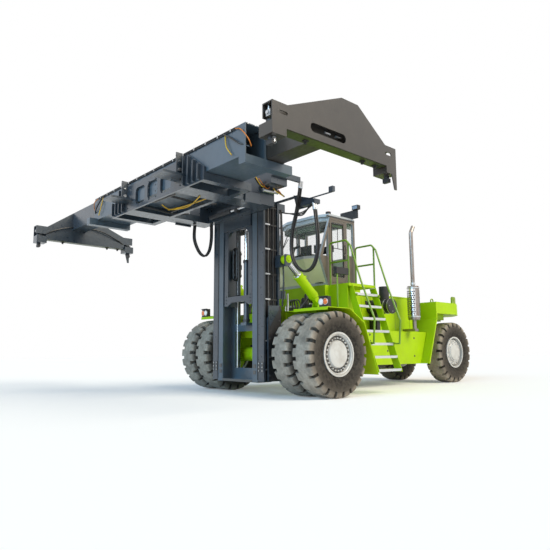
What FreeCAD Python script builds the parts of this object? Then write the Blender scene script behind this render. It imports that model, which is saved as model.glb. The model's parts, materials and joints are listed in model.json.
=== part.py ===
import FreeCAD, Part
import math
import os
import re
import Sketcher

# Container handler with a lifting mast and a telescopic top-lift spreader.
# Millimetres.  +X points to the machine's left, the front faces -Y, +Z is up.
# Every piece is first placed with y = 0 over the drive axle; each finished
# node is then moved by -mid_y, so the origin ends up on the ground under the
# middle of the whole machine.

SIZES = {
    # wheels and axles
    "tyre_radius": 800, "tyre_width": 480, "twin_gap": 90, "wheel_gap": 205,
    "rim_radius": 412, "drum_radius": 395, "drum_wall": 18, "flange_width": 16, "bead_in": 40,
    "disc_wall": 25, "drive_disc_set_in": 95, "drive_hub_radius": 300,
    "drive_cap_radius": 225, "drive_cap_height": 45,
    "steer_disc_set_in": 270, "steer_hub_radius": 150, "steer_hub_end": 30,
    "wheelbase": 5810, "steer_wheel_x": 850, "kingpin_x": 520,
    "kingpin_radius": 70, "kingpin_half": 165, "track_arm_out": 22, "yoke_wall": 50,
    "yoke_reach": 70,
    "spindle_radius": 70, "axle_radius": 150, "brake_radius": 260, "brake_width": 55,
    "wheel_clearance": 10, "gear_case_radius": 270, "gear_case_width": 460,
    "gear_case_back": 90, "steer_beam_deep": 220, "steer_beam_high": 240,
    # chassis
    "rail_outer": 780, "rail_wall": 80, "rail_bottom": 600, "rail_top": 1320,
    "rail_front": 130, "cheek_rise": 200, "deck_wall": 20, "fender_gap": 60,
    "fender_wall": 12, "fender_front": 280, "fender_flat_end": 350,
    "fender_knee_in": 15, "fender_knee_drop": 260, "fender_foot_reach": 380,
    "fender_foot_height": 390, "fender_inset": 45, "fender_lip": 45,
    "tank_gap": 5, "tank_outer": 970, "tank_bottom": 530,
    "tank_front_gap": 80,
    # cab, its base and the way up to it
    "cab_rise": 668, "cab_half_width": 800, "cab_height": 1570, "cab_front_floor": 1107,
    "cab_belt_y": 880, "cab_belt_rise": 570, "cab_roof_front": 1215, "cab_rear": 2060,
    "cab_post": 60, "cab_flat_half": 420, "cab_bow": 150, "cab_wall": 40, "cab_floor_wall": 60,
    "cab_roof_wall": 60,
    "header_deep": 90, "belt_half": 30, "roof_peak": 30, "glass_bulge": 60,
    "glass_bulge_rise": 340, "pane_set_in": 34,
    "door_front": 1205, "door_rear": 1720, "door_gap": 8, "door_sill": 20,
    "glass_wall": 8, "window_rise": 680, "door_window_rise": 150, "seat_front": 1400, "seat_deep": 480, "seat_wide": 490,
    "seat_rise": 300, "seat_thick": 130, "seat_back_rise": 1000, "console_y": 1180,
    "console_rise": 560, "console_half": 190, "wheel_radius": 200, "cab_base_front": 960,
    "cab_base_half": 850,
    "cab_base_back": 90, "deck_outer": 1420, "deck_front": 1080, "deck_rear": 1965,
    "stair_front_gap": 15, "stair_foot_x": 2065, "stair_foot_z": 430, "stair_wall": 14,
    "stair_deep": 180, "stair_gap": 5, "platform_wall": 60, "tread_high": 40, "tread_count": 7,
    "rail_tube": 20,
    "hoop_rise": 960, "hoop_middle": 520, "hoop_gap": 70, "hoop_front_y": 1120,
    # engine bay, counterweight, exhaust, intake
    "hood_half": 740, "hood_wall": 30, "hood_height": 880, "hood_front": 2200,
    "lid_wall": 30, "lid_gap": 8, "weight_half": 1200, "weight_high": 440,
    "weight_gap": 60, "weight_block": 300, "weight_lean": 430, "weight_wall": 40, "weight_foot": 530,
    "weight_inner_half": 900, "weight_inner_end": 210, "weight_spine_half": 450,
    "tail_reach": 760, "tail_round_ahead": 50,
    "tail_round_back": 380, "tail_round_half": 980, "tail_half": 620, "steer_sweep_gap": 30,
    "engine_half": 400, "engine_front": 2500,
    "engine_rear": 3900, "engine_bottom": 700, "engine_top": 1750,
    "silencer_x": 1150, "silencer_y": 3830, "silencer_radius": 140,
    "silencer_bottom": 1600, "silencer_top": 2430, "stack_radius": 50,
    "stack_top": 3960, "filter_radius": 170, "filter_y": 2640, "filter_z": 1870,
    "filter_end": 1380, "snorkel_in": 230, "snorkel_radius": 115, "snorkel_top": 2330,
    # mast
    "mast_half": 840, "mast_setback": 365, "mast_depth": 410, "mast_bottom": 285,
    "mast_height": 3565, "column_width": 170, "column_gap": 15,
    "inner_column_width": 165, "inner_rear_gap": 55, "carriage_gap": 30, "flange_wall": 40,
    "web_wall": 30, "inner_rise": 50, "inner_foot": 25, "foot_bar": 50,
    "pivot_ahead": 200, "pivot_drop": 250, "pivot_pin": 60,
    "hanger_wall": 30, "hanger_gap": 15, "hanger_top": 1750, "crossbar_high": 160,
    "low_bar_high": 110,
    "crossbar_wall": 55, "crossbar_back": 170, "lift_bore": 46, "lift_wall": 14,
    "lift_y": 325, "lift_x": 560, "lift_bottom": 460, "lift_rod": 44,
    "gland_below_top": 300, "free_x": 30, "free_y": 555, "free_barrel_radius": 62,
    "free_rod_radius": 44, "free_bore": 47, "free_bottom": 1450, "free_top": 2750,
    "free_pulley": 85,
    # carriage and cradle
    "carriage_bottom": 1800, "carriage_bar_bottom": 1870, "carriage_bar_top": 1990,
    "carriage_rail": 120, "carriage_wall": 60, "carriage_arch": 3380,
    "carriage_top": 3800, "roller_radius": 128, "beam_behind": 25, "beam_deep": 180,
    "beam_rise": 320, "arm_inner": 780, "arm_outer": 1190, "arm_high": 135,
    "front_beam_deep": 40, "front_beam_high": 520, "front_beam_half": 1070,
    "middle_beam_deep": 80, "middle_beam_high": 470, "window_count": 3,
    "window_pitch": 480, "window_wide": 370, "beam_window_rise": 75, "window_high": 330,
    "window_round": 90, "wing_half": 1700, "wing_low_side": 220, "wing_top_x": 1215,
    "wing_high": 560, "side_arm_in": 1560, "side_arm_rear": 1780, "side_arm_deep": 130,
    "shelf_reach": 440, "shelf_wall": 40, "shelf_rise": 185, "shelf_outer": 1160,
    "shelf_inner": 1020, "rib_count": 4, "rib_pitch": 150, "rib_wall": 24, "rib_out": 60,
    "lug_rise": 200, "cross_half": 1560, "cross_front": 1200, "cross_bottom": 3950,
    "cross_top": 4180, "cheek_plate_wall": 40,
    "hose_arm_wall": 60, "hose_arm_end": 500, "hose_arm_high": 100,
    "bracket_y": 355, "bracket_wall": 40, "bracket_foot_y": 560, "bracket_in": 1290,
    "bracket_out": 1600,
    "bracket_drop": 240, "bracket_rise": 70, "bracket_end": 1970, "bracket_bar": 80,
    "bracket_bar_y": 490,
    "lamp_arm_drop": 85, "lamp_arm_end": 2290, "lamp_arm_radius": 14, "lamp_box": 100,
    "hose_diameter": 44,
    # spreader
    "spreader_ahead": 2335, "tube_bottom": 3775, "tube_high": 505, "tube_wide": 390,
    "tube_apart": 10, "tube_wall": 15, "tube_half": 2720, "slide_gap": 12,
    "slide_top_gap": 40, "collar_long": 160, "collar_drop": 120, "collar_out": 170,
    "collar_lip": 40,
    "cradle_gap": 10, "arm_wall": 14, "arm_length": 4700, "lock_x": 4133,
    "lock_half": 1130, "end_plate_out": 120, "end_plate_wall": 15,
    "inner_plate_in": 65, "slot_low": 88, "slot_high": 124, "slot_from": 570, "slot_to": 100,
    "corner_hole_y": 1030, "corner_hole_rise": 165, "corner_hole_wide": 140, "corner_hole_high": 44,
    "end_beam_half": 1210, "end_beam_in": 125, "end_leg_bottom": 3400,
    "end_recess": 3500, "end_shoulder": 3805, "end_shoulder_wide": 250,
    "end_leg_wide": 230, "housing_high": 160, "lock_radius": 38, "lock_gap": 4,
    "knob_rise": 170, "lock_head_long": 104,
    "lock_head_wide": 56, "lock_head_high": 60, "lock_drop": 40, "guide_bottom": 3180,
    "guide_wall": 18, "guide_wide": 120,
    # tilt cylinders
    "tilt_x": 1050, "tilt_foot_y": 550, "tilt_foot_rise": 170, "tilt_eye_y": 380,
    "tilt_eye_z": 2660, "tilt_barrel": 100, "tilt_bore": 58, "tilt_rod": 55,
    "tilt_eye_radius": 85, "tilt_eye_wide": 100, "tilt_pin": 35, "tilt_eye_bore": 52,
    "tilt_barrel_foot": 190, "tilt_barrel_end": 800, "tilt_lug": 28, "lug_gap": 12,
    "tilt_deck_half": 1150,
    # lamps and mirrors
    "lamp_x": 1990, "lamp_y": 265, "lamp_wide": 220, "lamp_deep": 90, "lamp_high": 190,
    "roof_lamp_y": 1990, "roof_arm_foot": 450, "roof_arm_end": 970, "roof_arm_rise": 200,
    "beacon_x": 650, "beacon_y": 1330, "beacon_radius": 60, "mirror_post": 14,
    "mirror_deep": 70, "mirror_x": 1900,
    "mirror_y": 180, "mirror_rise": 660, "mirror_high": 130, "mirror_long": 350,
}

# Values that follow from the driving sizes.  Each may use those above it.
WORKED = {
    "inner_tyre_x": "mast_half + wheel_gap + tyre_width / 2",
    "outer_tyre_x": "inner_tyre_x + tyre_width + twin_gap",
    "tyre_in": "mast_half + wheel_gap",
    "tyre_out": "outer_tyre_x + tyre_width / 2",
    "spreader_y": "-spreader_ahead",
    "tail_y": "wheelbase + tail_reach",
    "tail_round_from": "wheelbase - tail_round_ahead",
    "tail_round_y": "wheelbase + tail_round_back",
    "mid_y": "(tail_y + spreader_y - end_beam_half) / 2",
    "fender_z": "2 * tyre_radius + fender_gap",
    "fender_out": "tyre_out - fender_inset",
    "fender_knee_back": "tyre_radius - fender_knee_in",
    "fender_foot_back": "tyre_radius + fender_foot_reach",
    "tank_front": "fender_foot_back + tank_front_gap",
    "stair_front": "fender_foot_back + stair_front_gap",
    "cheek_bottom": "tyre_radius + cheek_rise",
    "hoop_inner": "cab_half_width + hoop_gap",
    "mast_rear": "-mast_setback",
    "mast_front": "-mast_setback - mast_depth",
    "mast_top": "mast_bottom + mast_height",
    "bracket_low": "mast_top - bracket_drop",
    "bracket_top": "mast_top + bracket_rise",
    "lamp_arm_z": "mast_top - lamp_arm_drop",
    "inner_top": "mast_top + inner_rise",
    "column_in": "mast_half - column_width",
    "inner_out": "column_in - column_gap",
    "inner_in": "inner_out - inner_column_width",
    "inner_rear": "mast_rear - inner_rear_gap",
    "carriage_half": "inner_in - carriage_gap",
    "pivot_y": "-pivot_ahead",
    "pivot_z": "tyre_radius - pivot_drop",
    "floor_z": "fender_z + fender_wall + cab_rise",
    "roof_z": "floor_z + cab_height",
    "belt_z": "floor_z + cab_belt_rise",
    "deck_z": "floor_z - cab_floor_wall",
    "weight_bottom": "2 * tyre_radius + weight_gap",
    "weight_top": "weight_bottom + weight_high",
    "steer_reach": "steer_wheel_x + tyre_width / 2 - kingpin_x",
    "steer_sweep": "sqrt(tyre_radius ^ 2 + steer_reach ^ 2) + steer_sweep_gap",
    "arch_front": "wheelbase - steer_sweep",
    "weight_front_top": "arch_front - weight_wall",
    "weight_front_foot": "weight_front_top - weight_lean",
    "rail_rear": "weight_front_foot",
    "hood_rear": "weight_front_top - 250",
    "hood_z": "rail_top + hood_height",
    "tube_top": "tube_bottom + tube_high",
    "tube_offset": "(tube_wide + tube_apart) / 2",
    "arm_under": "tube_bottom - cradle_gap - arm_high",
    "arm_top": "tube_bottom - cradle_gap",
    "cradle_front": "spreader_y - tube_offset - tube_wide / 2 - cradle_gap",
    "cradle_rear": "spreader_y + tube_offset + tube_wide / 2 + cradle_gap",
    "slide_half": "tube_wide / 2 - tube_wall - slide_gap",
    "slide_bottom": "tube_bottom + tube_wall + slide_gap",
    "slide_top": "tube_top - tube_wall - slide_top_gap",
    "end_out": "lock_x + end_plate_out",
    "end_in": "lock_x - end_beam_in",
    "tilt_foot_z": "fender_z + fender_wall + tilt_foot_rise",
    "tilt_dy": "tilt_foot_y + tilt_eye_y",
    "tilt_dz": "tilt_eye_z - tilt_foot_z",
    "tilt_length": "sqrt(tilt_dy ^ 2 + tilt_dz ^ 2)",
    "tilt_lean": "atan2(tilt_dy; tilt_dz)",
}

doc = FreeCAD.newDocument("container_handler")
sheet = doc.addObject("Spreadsheet::Sheet", "sizes")
names = {}
for row, (alias, value) in enumerate(SIZES.items(), start=1):
    sheet.set("A%d" % row, alias)
    sheet.set("B%d" % row, str(value))
    sheet.setAlias("B%d" % row, alias)
    names[alias] = "sizes." + alias
worked = doc.addObject("App::VarSet", "worked")
doc.recompute()


def bound(text):
    """An expression in which each size's name points at its cell."""
    return re.sub(r"[a-z][a-z0-9_]*", lambda found: names.get(found.group(0), found.group(0)), text)


def bind(thing, **properties):
    for name, text in properties.items():
        thing.setExpression(name.replace("__", "."), bound(str(text)))


for alias, text in WORKED.items():
    worked.addProperty("App::PropertyFloat", alias)
    worked.setExpression(alias, bound(text))
    names[alias] = "worked." + alias
doc.recompute()


def size(alias):
    """The present value of a driving or worked size, as a number."""
    return float(sheet.get(alias)) if alias in SIZES else float(getattr(worked, alias))


# ---------------------------------------------------------------- shape makers

TURN = {"X": FreeCAD.Rotation(FreeCAD.Vector(0, 1, 0), 90),
        "Y": FreeCAD.Rotation(FreeCAD.Vector(1, 0, 0), -90),
        "Z": FreeCAD.Rotation()}
PLANE = {"X": "YZ_Plane", "Y": "XZ_Plane", "Z": "XY_Plane"}
finished = []


def block(name, x, y, z):
    """A box between two values along each axis."""
    piece = doc.addObject("Part::Box", name)
    for side, place, (low, high) in (("Length", "x", x), ("Width", "y", y), ("Height", "z", z)):
        piece.setExpression(side, bound("(%s) - (%s)" % (high, low)))
        piece.setExpression("Placement.Base." + place, bound(str(low)))
    return piece


def rod(name, axis, centre, radius, ends):
    """A cylinder along an axis; the centre gives the two other coordinates."""
    piece = doc.addObject("Part::Cylinder", name)
    piece.Placement = FreeCAD.Placement(FreeCAD.Vector(), TURN[axis])
    bind(piece, Radius=radius, Height="(%s) - (%s)" % (ends[1], ends[0]))
    base = dict(zip([letter for letter in "xyz" if letter != axis.lower()], centre))
    base[axis.lower()] = ends[0]
    for letter, text in base.items():
        piece.setExpression("Placement.Base." + letter, bound(str(text)))
    return piece


def fuse(name, *pieces):
    joined = doc.addObject("Part::MultiFuse", name)
    joined.Shapes = list(pieces)
    joined.Refine = True
    return joined


def cut(name, base, *tools):
    tool = tools[0] if len(tools) == 1 else group(name + "_tools", *tools)
    rest = doc.addObject("Part::Cut", name)
    rest.Base = base
    rest.Tool = tool
    return rest


def group(name, *pieces):
    held = doc.addObject("Part::Compound", name)
    held.Links = list(pieces)
    return held


def ring(name, axis, centre, outer, inner, ends):
    long_ends = ("(%s) - 1" % ends[0], "(%s) + 1" % ends[1])
    return cut(name, rod(name + "_round", axis, centre, outer, ends),
               rod(name + "_bore", axis, centre, inner, long_ends))


probe = doc.addObject("App::VarSet", "probe")
probe.addProperty("App::PropertyFloat", "value")


def number(text):
    """The present value of an expression in the sizes' names."""
    if isinstance(text, (int, float)):
        return float(text)
    probe.setExpression("value", bound(text))
    probe.recompute()
    return float(probe.value)


def outline(body, axis, points, offset=None):
    """A closed sketch of straight sides whose corners are bound to sizes."""
    sketch = body.newObject("Sketcher::SketchObject", body.Name + "_outline")
    role = PLANE[axis]
    plane = [item for item in body.Origin.OriginFeatures if item.Role == role][0]
    sketch.AttachmentSupport = (plane, "")
    sketch.MapMode = "FlatFace"
    if offset is not None:
        sketch.setExpression("AttachmentOffset.Base.z", bound(offset))
    values = [(number(across), number(up)) for across, up in points]
    corners = [FreeCAD.Vector(across, up, 0) for across, up in values]
    count = len(corners)
    for index in range(count):
        sketch.addGeometry(Part.LineSegment(corners[index], corners[(index + 1) % count]), False)
    for index in range(count):
        sketch.addConstraint(Sketcher.Constraint("Coincident", index, 2, (index + 1) % count, 1))
    for index, (across, up) in enumerate(points):
        for kind, text, value in (("DistanceX", across, values[index][0]),
                                  ("DistanceY", up, values[index][1])):
            made = sketch.addConstraint(Sketcher.Constraint(kind, index, 1, value))
            sketch.setExpression("Constraints[%d]" % made, bound(str(text)))
    return sketch


def plate(name, axis, points, ends):
    """An outline pushed out along an axis, from the first end to the second."""
    body = doc.addObject("PartDesign::Body", name)
    sketch = outline(body, axis, points)
    pad = body.newObject("PartDesign::Pad", name + "_pad")
    pad.Profile = sketch
    pad.Reversed = axis == "Y"
    pad.setExpression("Length", bound("(%s) - (%s)" % (ends[1], ends[0])))
    sketch.Visibility = False
    body.setExpression("Placement.Base." + axis.lower(), bound(str(ends[0])))
    return body


def lofted(name, low_points, high_points, ends):
    """A solid between two outlines of as many corners, set apart along X."""
    body = doc.addObject("PartDesign::Body", name)
    first = outline(body, "X", low_points, ends[0])
    last = outline(body, "X", high_points, ends[1])
    loft = body.newObject("PartDesign::AdditiveLoft", name + "_loft")
    loft.Profile = first
    loft.Sections = [last]
    loft.Ruled = True
    return body


def bowed(name, points, half, flat="cab_flat_half", bow="cab_bow"):
    """An outline across the cab's front, straight in the middle and swept back at each side."""
    ahead = [("%s - %s" % (along, bow), up) for along, up in points]
    middle = plate(name + "_middle", "X", ahead, ("-" + flat, flat))
    left = lofted(name + "_left", ahead, points, (flat, half))
    right = lofted(name + "_right", points, ahead, ("-(%s)" % half, "-" + flat))
    return fuse(name, middle, left, right)


def turned(name, points, centre):
    """An outline of (place along X, radius) points turned round an X axis."""
    body = doc.addObject("PartDesign::Body", name)
    sketch = outline(body, "Y", points)
    spin = body.newObject("PartDesign::Revolution", name + "_turn")
    spin.Profile = sketch
    spin.ReferenceAxis = (sketch, ["H_Axis"])
    spin.Angle = 360
    for letter, text in zip("xyz", centre):
        body.setExpression("Placement.Base." + letter, bound(str(text)))
    return body


def arc_radii(points):
    """The radius of each arc a tube along these points gets, rounded to a millimetre."""
    corners = [FreeCAD.Vector(*point) for point in points]
    radii = []
    for before, corner, after in zip(corners, corners[1:], corners[2:]):
        back, ahead = before - corner, after - corner
        half_turn = (math.pi - back.getAngle(ahead)) / 2
        radii.append(round(0.45 * min(back.Length, ahead.Length) / math.tan(half_turn)))
    return radii


def tube(name, points, radius, bend=None):
    """A round tube along straight runs joined by arcs.

    Without a bend radius each arc is as large as its two runs allow."""
    corners = [FreeCAD.Vector(*point) for point in points]
    edges = []
    start = corners[0]
    for index in range(1, len(corners) - 1):
        back = (corners[index - 1] - corners[index])
        ahead = (corners[index + 1] - corners[index])
        run = min(back.Length, ahead.Length)
        half_turn = (math.pi - back.getAngle(ahead)) / 2
        arc_radius = bend or 0.45 * run / math.tan(half_turn)
        trim = arc_radius * math.tan(half_turn)
        back.normalize()
        ahead.normalize()
        first = corners[index] + back * trim
        last = corners[index] + ahead * trim
        inward = (back + ahead).normalize()
        middle = corners[index] + inward * (arc_radius / math.cos(half_turn) - arc_radius)
        edges.append(Part.LineSegment(start, first).toShape())
        edges.append(Part.Arc(first, middle, last).toShape())
        start = last
    edges.append(Part.LineSegment(start, corners[-1]).toShape())
    path = Part.Wire(edges)
    ring_edge = Part.Circle(corners[0], corners[1] - corners[0], radius).toShape()
    made = doc.addObject("Part::Feature", name)
    made.Shape = path.makePipeShell([Part.Wire([ring_edge])], True, False)
    return made


def node(label, *pieces):
    """One finished, named piece of the machine, moved to the shared origin."""
    whole = pieces[0]
    if len(pieces) > 1 or whole.TypeId not in ("Part::Cut", "Part::MultiFuse"):
        whole = group(label + "_set", *pieces)
    whole.Label = label
    whole.setExpression("Placement.Base.y", bound("-mid_y"))
    finished.append(whole)
    return whole


def both(make):
    """Runs a maker for the left side and for the right side."""
    return [make("left", 1), make("right", -1)]


def across(sign, low, high):
    """The two ends of a stretch in X, for the left or for the right side."""
    return (low, high) if sign > 0 else ("-(%s)" % high, "-(%s)" % low)


# ---------------------------------------------------------------- wheels

def tyre(name, x):
    bulge = "drum_radius + 150"
    half = "tyre_width / 2"
    bead = "%s - bead_in" % half
    points = [("-(%s)" % bead, "drum_radius"), ("-(%s)" % bead, "rim_radius + 3"),
              ("-(%s)" % half, bulge),
              ("-(%s)" % half, "tyre_radius - 110"), ("-(%s) + 45" % half, "tyre_radius - 25"),
              ("-(%s) + 90" % half, "tyre_radius"), ("%s - 90" % half, "tyre_radius"),
              ("%s - 45" % half, "tyre_radius - 25"), (half, "tyre_radius - 110"),
              (half, bulge), (bead, "rim_radius + 3"), (bead, "drum_radius")]
    return turned(name, points, (x[0], x[1], "tyre_radius"))


def drum(name, x, y):
    """The rim's barrel with a flange at each edge."""
    half = "tyre_width / 2 - bead_in"
    points = [("-(%s) - flange_width" % half, "drum_radius - drum_wall"),
              ("-(%s) - flange_width" % half, "rim_radius"),
              ("-(%s)" % half, "rim_radius"), ("-(%s)" % half, "drum_radius"),
              (half, "drum_radius"), (half, "rim_radius"),
              ("%s + flange_width" % half, "rim_radius"),
              ("%s + flange_width" % half, "drum_radius - drum_wall")]
    return turned(name, points, (x, y, "tyre_radius"))


def signed(sign, text):
    return text if sign > 0 else "-(%s)" % text


def drive_wheel(side, sign):
    for_inner = signed(sign, "inner_tyre_x")
    for_outer = signed(sign, "outer_tyre_x")
    node("drive_tyres_" + side, tyre("twin_inner_" + side, (for_inner, 0)),
         tyre("twin_outer_" + side, (for_outer, 0)))
    round_axis = ("0", "tyre_radius")
    face = "tyre_out - drive_disc_set_in"
    hub = rod("hub_" + side, "X", round_axis, "drive_hub_radius",
              across(sign, "tyre_in + 30", face))
    disc = rod("disc_" + side, "X", round_axis, "drum_radius - 5",
               across(sign, "%s - disc_wall" % face, face))
    inner_disc = rod("inner_disc_" + side, "X", round_axis, "drum_radius - 5",
                     across(sign, "inner_tyre_x - disc_wall / 2", "inner_tyre_x + disc_wall / 2"))
    cap = rod("cap_" + side, "X", round_axis, "drive_cap_radius",
              across(sign, face, "%s + drive_cap_height" % face))
    node("drive_rims_" + side, fuse("drive_rims_body_" + side,
         drum("inner_drum_" + side, for_inner, 0), drum("outer_drum_" + side, for_outer, 0),
         hub, disc, inner_disc, cap))


def steer_wheel(side, sign):
    x = signed(sign, "steer_wheel_x")
    node("steer_tyre_" + side, tyre("steer_tyre_body_" + side, (x, "wheelbase")))
    round_axis = ("wheelbase", "tyre_radius")
    out = "steer_wheel_x + tyre_width / 2"
    face = "%s - steer_disc_set_in" % out
    disc = rod("steer_disc_" + side, "X", round_axis, "drum_radius - 5",
               across(sign, "%s - disc_wall" % face, face))
    hub = rod("steer_hub_" + side, "X", round_axis, "steer_hub_radius",
              across(sign, "%s - disc_wall - 20" % face, "%s - steer_hub_end" % out))
    node("steer_rim_" + side, fuse("steer_rim_body_" + side,
         drum("steer_drum_" + side, x, "wheelbase"), disc, hub))


def knuckle(side, sign):
    """The steering knuckle: an upright on the kingpin and the wheel's spindle."""
    inner = "steer_wheel_x + tyre_width / 2 - steer_disc_set_in - disc_wall - 20 - wheel_clearance"
    post = rod("knuckle_post_" + side, "Z", (signed(sign, "kingpin_x"), "wheelbase"),
               "kingpin_radius",
               ("tyre_radius - kingpin_half", "tyre_radius + kingpin_half"))
    spindle = rod("spindle_" + side, "X", ("wheelbase", "tyre_radius"), "spindle_radius",
                  across(sign, "kingpin_x", inner))
    track_arm = block("track_arm_" + side, across(
        sign, "kingpin_x + track_arm_out", "kingpin_x + track_arm_out + 50"),
                      ("wheelbase + 40", "wheelbase + 230"),
                      ("tyre_radius - 90", "tyre_radius - 50"))
    node("knuckle_" + side, fuse("knuckle_body_" + side, post, spindle, track_arm))


for side, sign in (("left", 1), ("right", -1)):
    drive_wheel(side, sign)
    steer_wheel(side, sign)
    knuckle(side, sign)


# ---------------------------------------------------------------- axles

def drive_axle():
    beam = rod("axle_beam", "X", ("0", "tyre_radius"), "axle_radius",
               ("-(tyre_in - wheel_clearance)", "tyre_in - wheel_clearance"))
    case = rod("gear_case", "X", ("gear_case_back", "tyre_radius"), "gear_case_radius",
               ("-gear_case_width / 2", "gear_case_width / 2"))
    nose = rod("gear_nose", "Y", ("0", "tyre_radius"), "gear_case_radius / 2",
               ("gear_case_back", "gear_case_back + gear_case_radius + 160"))
    parts = [beam, case, nose]
    bracket = [("pivot_y - 120", "pivot_z - 110"), ("pivot_y + 110", "pivot_z - 110"),
               ("60", "tyre_radius - 160"), ("60", "cheek_bottom - 40"),
               ("-60", "cheek_bottom - 40"), ("pivot_y - 120", "pivot_z + 100")]
    hanger_in = "mast_half + hanger_gap"
    hanger_out = "mast_half + hanger_gap + hanger_wall"
    for side, sign in (("left", 1), ("right", -1)):
        parts.append(rod("brake_" + side, "X", ("0", "tyre_radius"), "brake_radius", across(
            sign, "tyre_in - wheel_clearance - brake_width", "tyre_in - wheel_clearance")))
        parts.append(plate("pivot_inner_" + side, "X", bracket,
                           across(sign, "mast_half - 60", "mast_half")))
        parts.append(plate("pivot_outer_" + side, "X", bracket, across(
            sign, "%s + hanger_gap" % hanger_out, "%s + hanger_gap + 40" % hanger_out)))
        parts.append(rod("pivot_pin_" + side, "X", ("pivot_y", "pivot_z"), "pivot_pin", across(
            sign, "mast_half - 60", "%s + hanger_gap + 40" % hanger_out)))
        parts.append(block("frame_pad_" + side,
                           across(sign, "rail_outer - rail_wall", "rail_outer"),
                           ("-140", "140"), ("tyre_radius", "cheek_bottom")))
    node("drive_axle", fuse("drive_axle_body", *parts))


def steer_axle():
    beam = block("steer_beam", ("-(kingpin_x - kingpin_radius - 10)",
                                "kingpin_x - kingpin_radius - 10"),
                 ("wheelbase - steer_beam_deep / 2", "wheelbase + steer_beam_deep / 2"),
                 ("tyre_radius - steer_beam_high / 2", "tyre_radius + steer_beam_high / 2"))
    saddle = block("steer_saddle", ("-180", "180"), ("wheelbase - 150", "wheelbase + 150"),
                   ("tyre_radius", "weight_bottom"))
    cylinder = rod("steer_cylinder", "X", ("wheelbase + steer_beam_deep / 2 + 90", "tyre_radius"),
                   "70", ("-300", "300"))
    cylinder_rod = rod("steer_cylinder_rod", "X",
                       ("wheelbase + steer_beam_deep / 2 + 90", "tyre_radius"), "28",
                       ("-400", "400"))
    foot = block("steer_cylinder_foot", ("-120", "120"), ("wheelbase", "wheelbase + 200"),
                 ("tyre_radius - 40", "tyre_radius + 40"))
    parts = [beam, saddle, cylinder, cylinder_rod, foot]
    for side, sign in (("left", 1), ("right", -1)):
        stretch = across(sign, "kingpin_x - kingpin_radius - 60", "kingpin_x + yoke_reach")
        for level, low in (("upper", "tyre_radius + kingpin_half + 5"),
                           ("lower", "tyre_radius - kingpin_half - 5 - yoke_wall")):
            parts.append(block("yoke_%s_%s" % (level, side), stretch,
                               ("wheelbase - 80", "wheelbase + 80"),
                               (low, "%s + yoke_wall" % low)))
        parts.append(block("yoke_back_" + side, across(
            sign, "kingpin_x - kingpin_radius - 60", "kingpin_x - kingpin_radius - 10"),
            ("wheelbase - 80", "wheelbase + 80"),
            ("tyre_radius - kingpin_half - 5 - yoke_wall",
             "tyre_radius + kingpin_half + 5 + yoke_wall")))
    node("steer_axle", fuse("steer_axle_body", *parts))


drive_axle()
steer_axle()


# ---------------------------------------------------------------- chassis

def chassis_frame():
    side_view = [("-rail_front", "cheek_bottom"), ("-rail_front", "fender_z - deck_wall"),
                 ("cab_base_front - 10", "fender_z - deck_wall"), ("cab_base_front - 10", "rail_top"),
                 ("rail_rear", "rail_top"), ("rail_rear", "rail_bottom"),
                 ("tank_front", "rail_bottom"), ("tank_front - 400", "cheek_bottom")]
    parts = []
    for side, sign in (("left", 1), ("right", -1)):
        parts.append(plate("rail_" + side, "X", side_view,
                           across(sign, "rail_outer - rail_wall", "rail_outer")))
        foot = [("tilt_foot_y - 150", "fender_z"), ("tilt_foot_y + 150", "fender_z"),
                ("tilt_foot_y + 70", "tilt_foot_z + 70"), ("tilt_foot_y - 70", "tilt_foot_z + 70")]
        clear = "tilt_eye_wide / 2 + lug_gap"
        parts.append(plate("tilt_lug_in_" + side, "X", foot, across(
            sign, "tilt_x - (%s) - tilt_lug" % clear, "tilt_x - (%s)" % clear)))
        parts.append(plate("tilt_lug_out_" + side, "X", foot, across(
            sign, "tilt_x + %s" % clear, "tilt_x + %s + tilt_lug" % clear)))
        parts.append(rod("tilt_foot_pin_" + side, "X", ("tilt_foot_y", "tilt_foot_z"), "tilt_pin",
                         across(sign, "tilt_x - (%s) - tilt_lug" % clear,
                                "tilt_x + %s + tilt_lug" % clear)))
    wide = ("-(rail_outer - rail_wall)", "rail_outer - rail_wall")
    parts.append(block("front_member", wide, ("-rail_front", "-rail_front + 60"),
                       ("cheek_bottom + 150", "fender_z - deck_wall")))
    parts.append(block("middle_member", wide, ("tank_front", "tank_front + 80"),
                       ("rail_bottom + 50", "rail_top - 20")))
    parts.append(block("rear_member", wide, ("rail_rear - 80", "rail_rear"),
                       ("rail_bottom + 50", "rail_top - 20")))
    parts.append(block("deck", ("-tilt_deck_half", "tilt_deck_half"),
                       ("-rail_front", "cab_base_front"), ("fender_z - deck_wall", "fender_z")))
    node("chassis_frame", fuse("chassis_frame_body", *parts))


def fender(side, sign):
    """A folded plate over the top and the back of the twin wheels."""
    top = "fender_z"
    outer = [("-fender_front", top + " - fender_lip"), ("-fender_front", top + " + fender_wall"),
             ("fender_flat_end", top + " + fender_wall"),
             ("fender_knee_back", top + " + fender_wall - fender_knee_drop"),
             ("fender_foot_back", "fender_foot_height"),
             ("fender_foot_back - fender_wall", "fender_foot_height"),
             ("fender_knee_back - fender_wall", top + " - fender_knee_drop"),
             ("fender_flat_end - 6", top),
             ("-fender_front + fender_wall", top),
             ("-fender_front + fender_wall", top + " - fender_lip")]
    return plate("fender_plate_" + side, "X", outer,
                 across(sign, "tilt_deck_half + 5", "fender_out"))


def side_tank(side, sign):
    """A box along the frame; its rear end leans with the counterweight's front wall."""
    lean = "weight_lean * (rail_top - weight_foot) / (weight_bottom - weight_foot)"
    view = [("tank_front", "tank_bottom"), ("rail_rear - 10", "tank_bottom"),
            ("rail_rear - 10 + " + lean, "rail_top"), ("tank_front", "rail_top")]
    return plate("side_tank_" + side, "X", view,
                 across(sign, "rail_outer + tank_gap", "tank_outer"))


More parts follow.
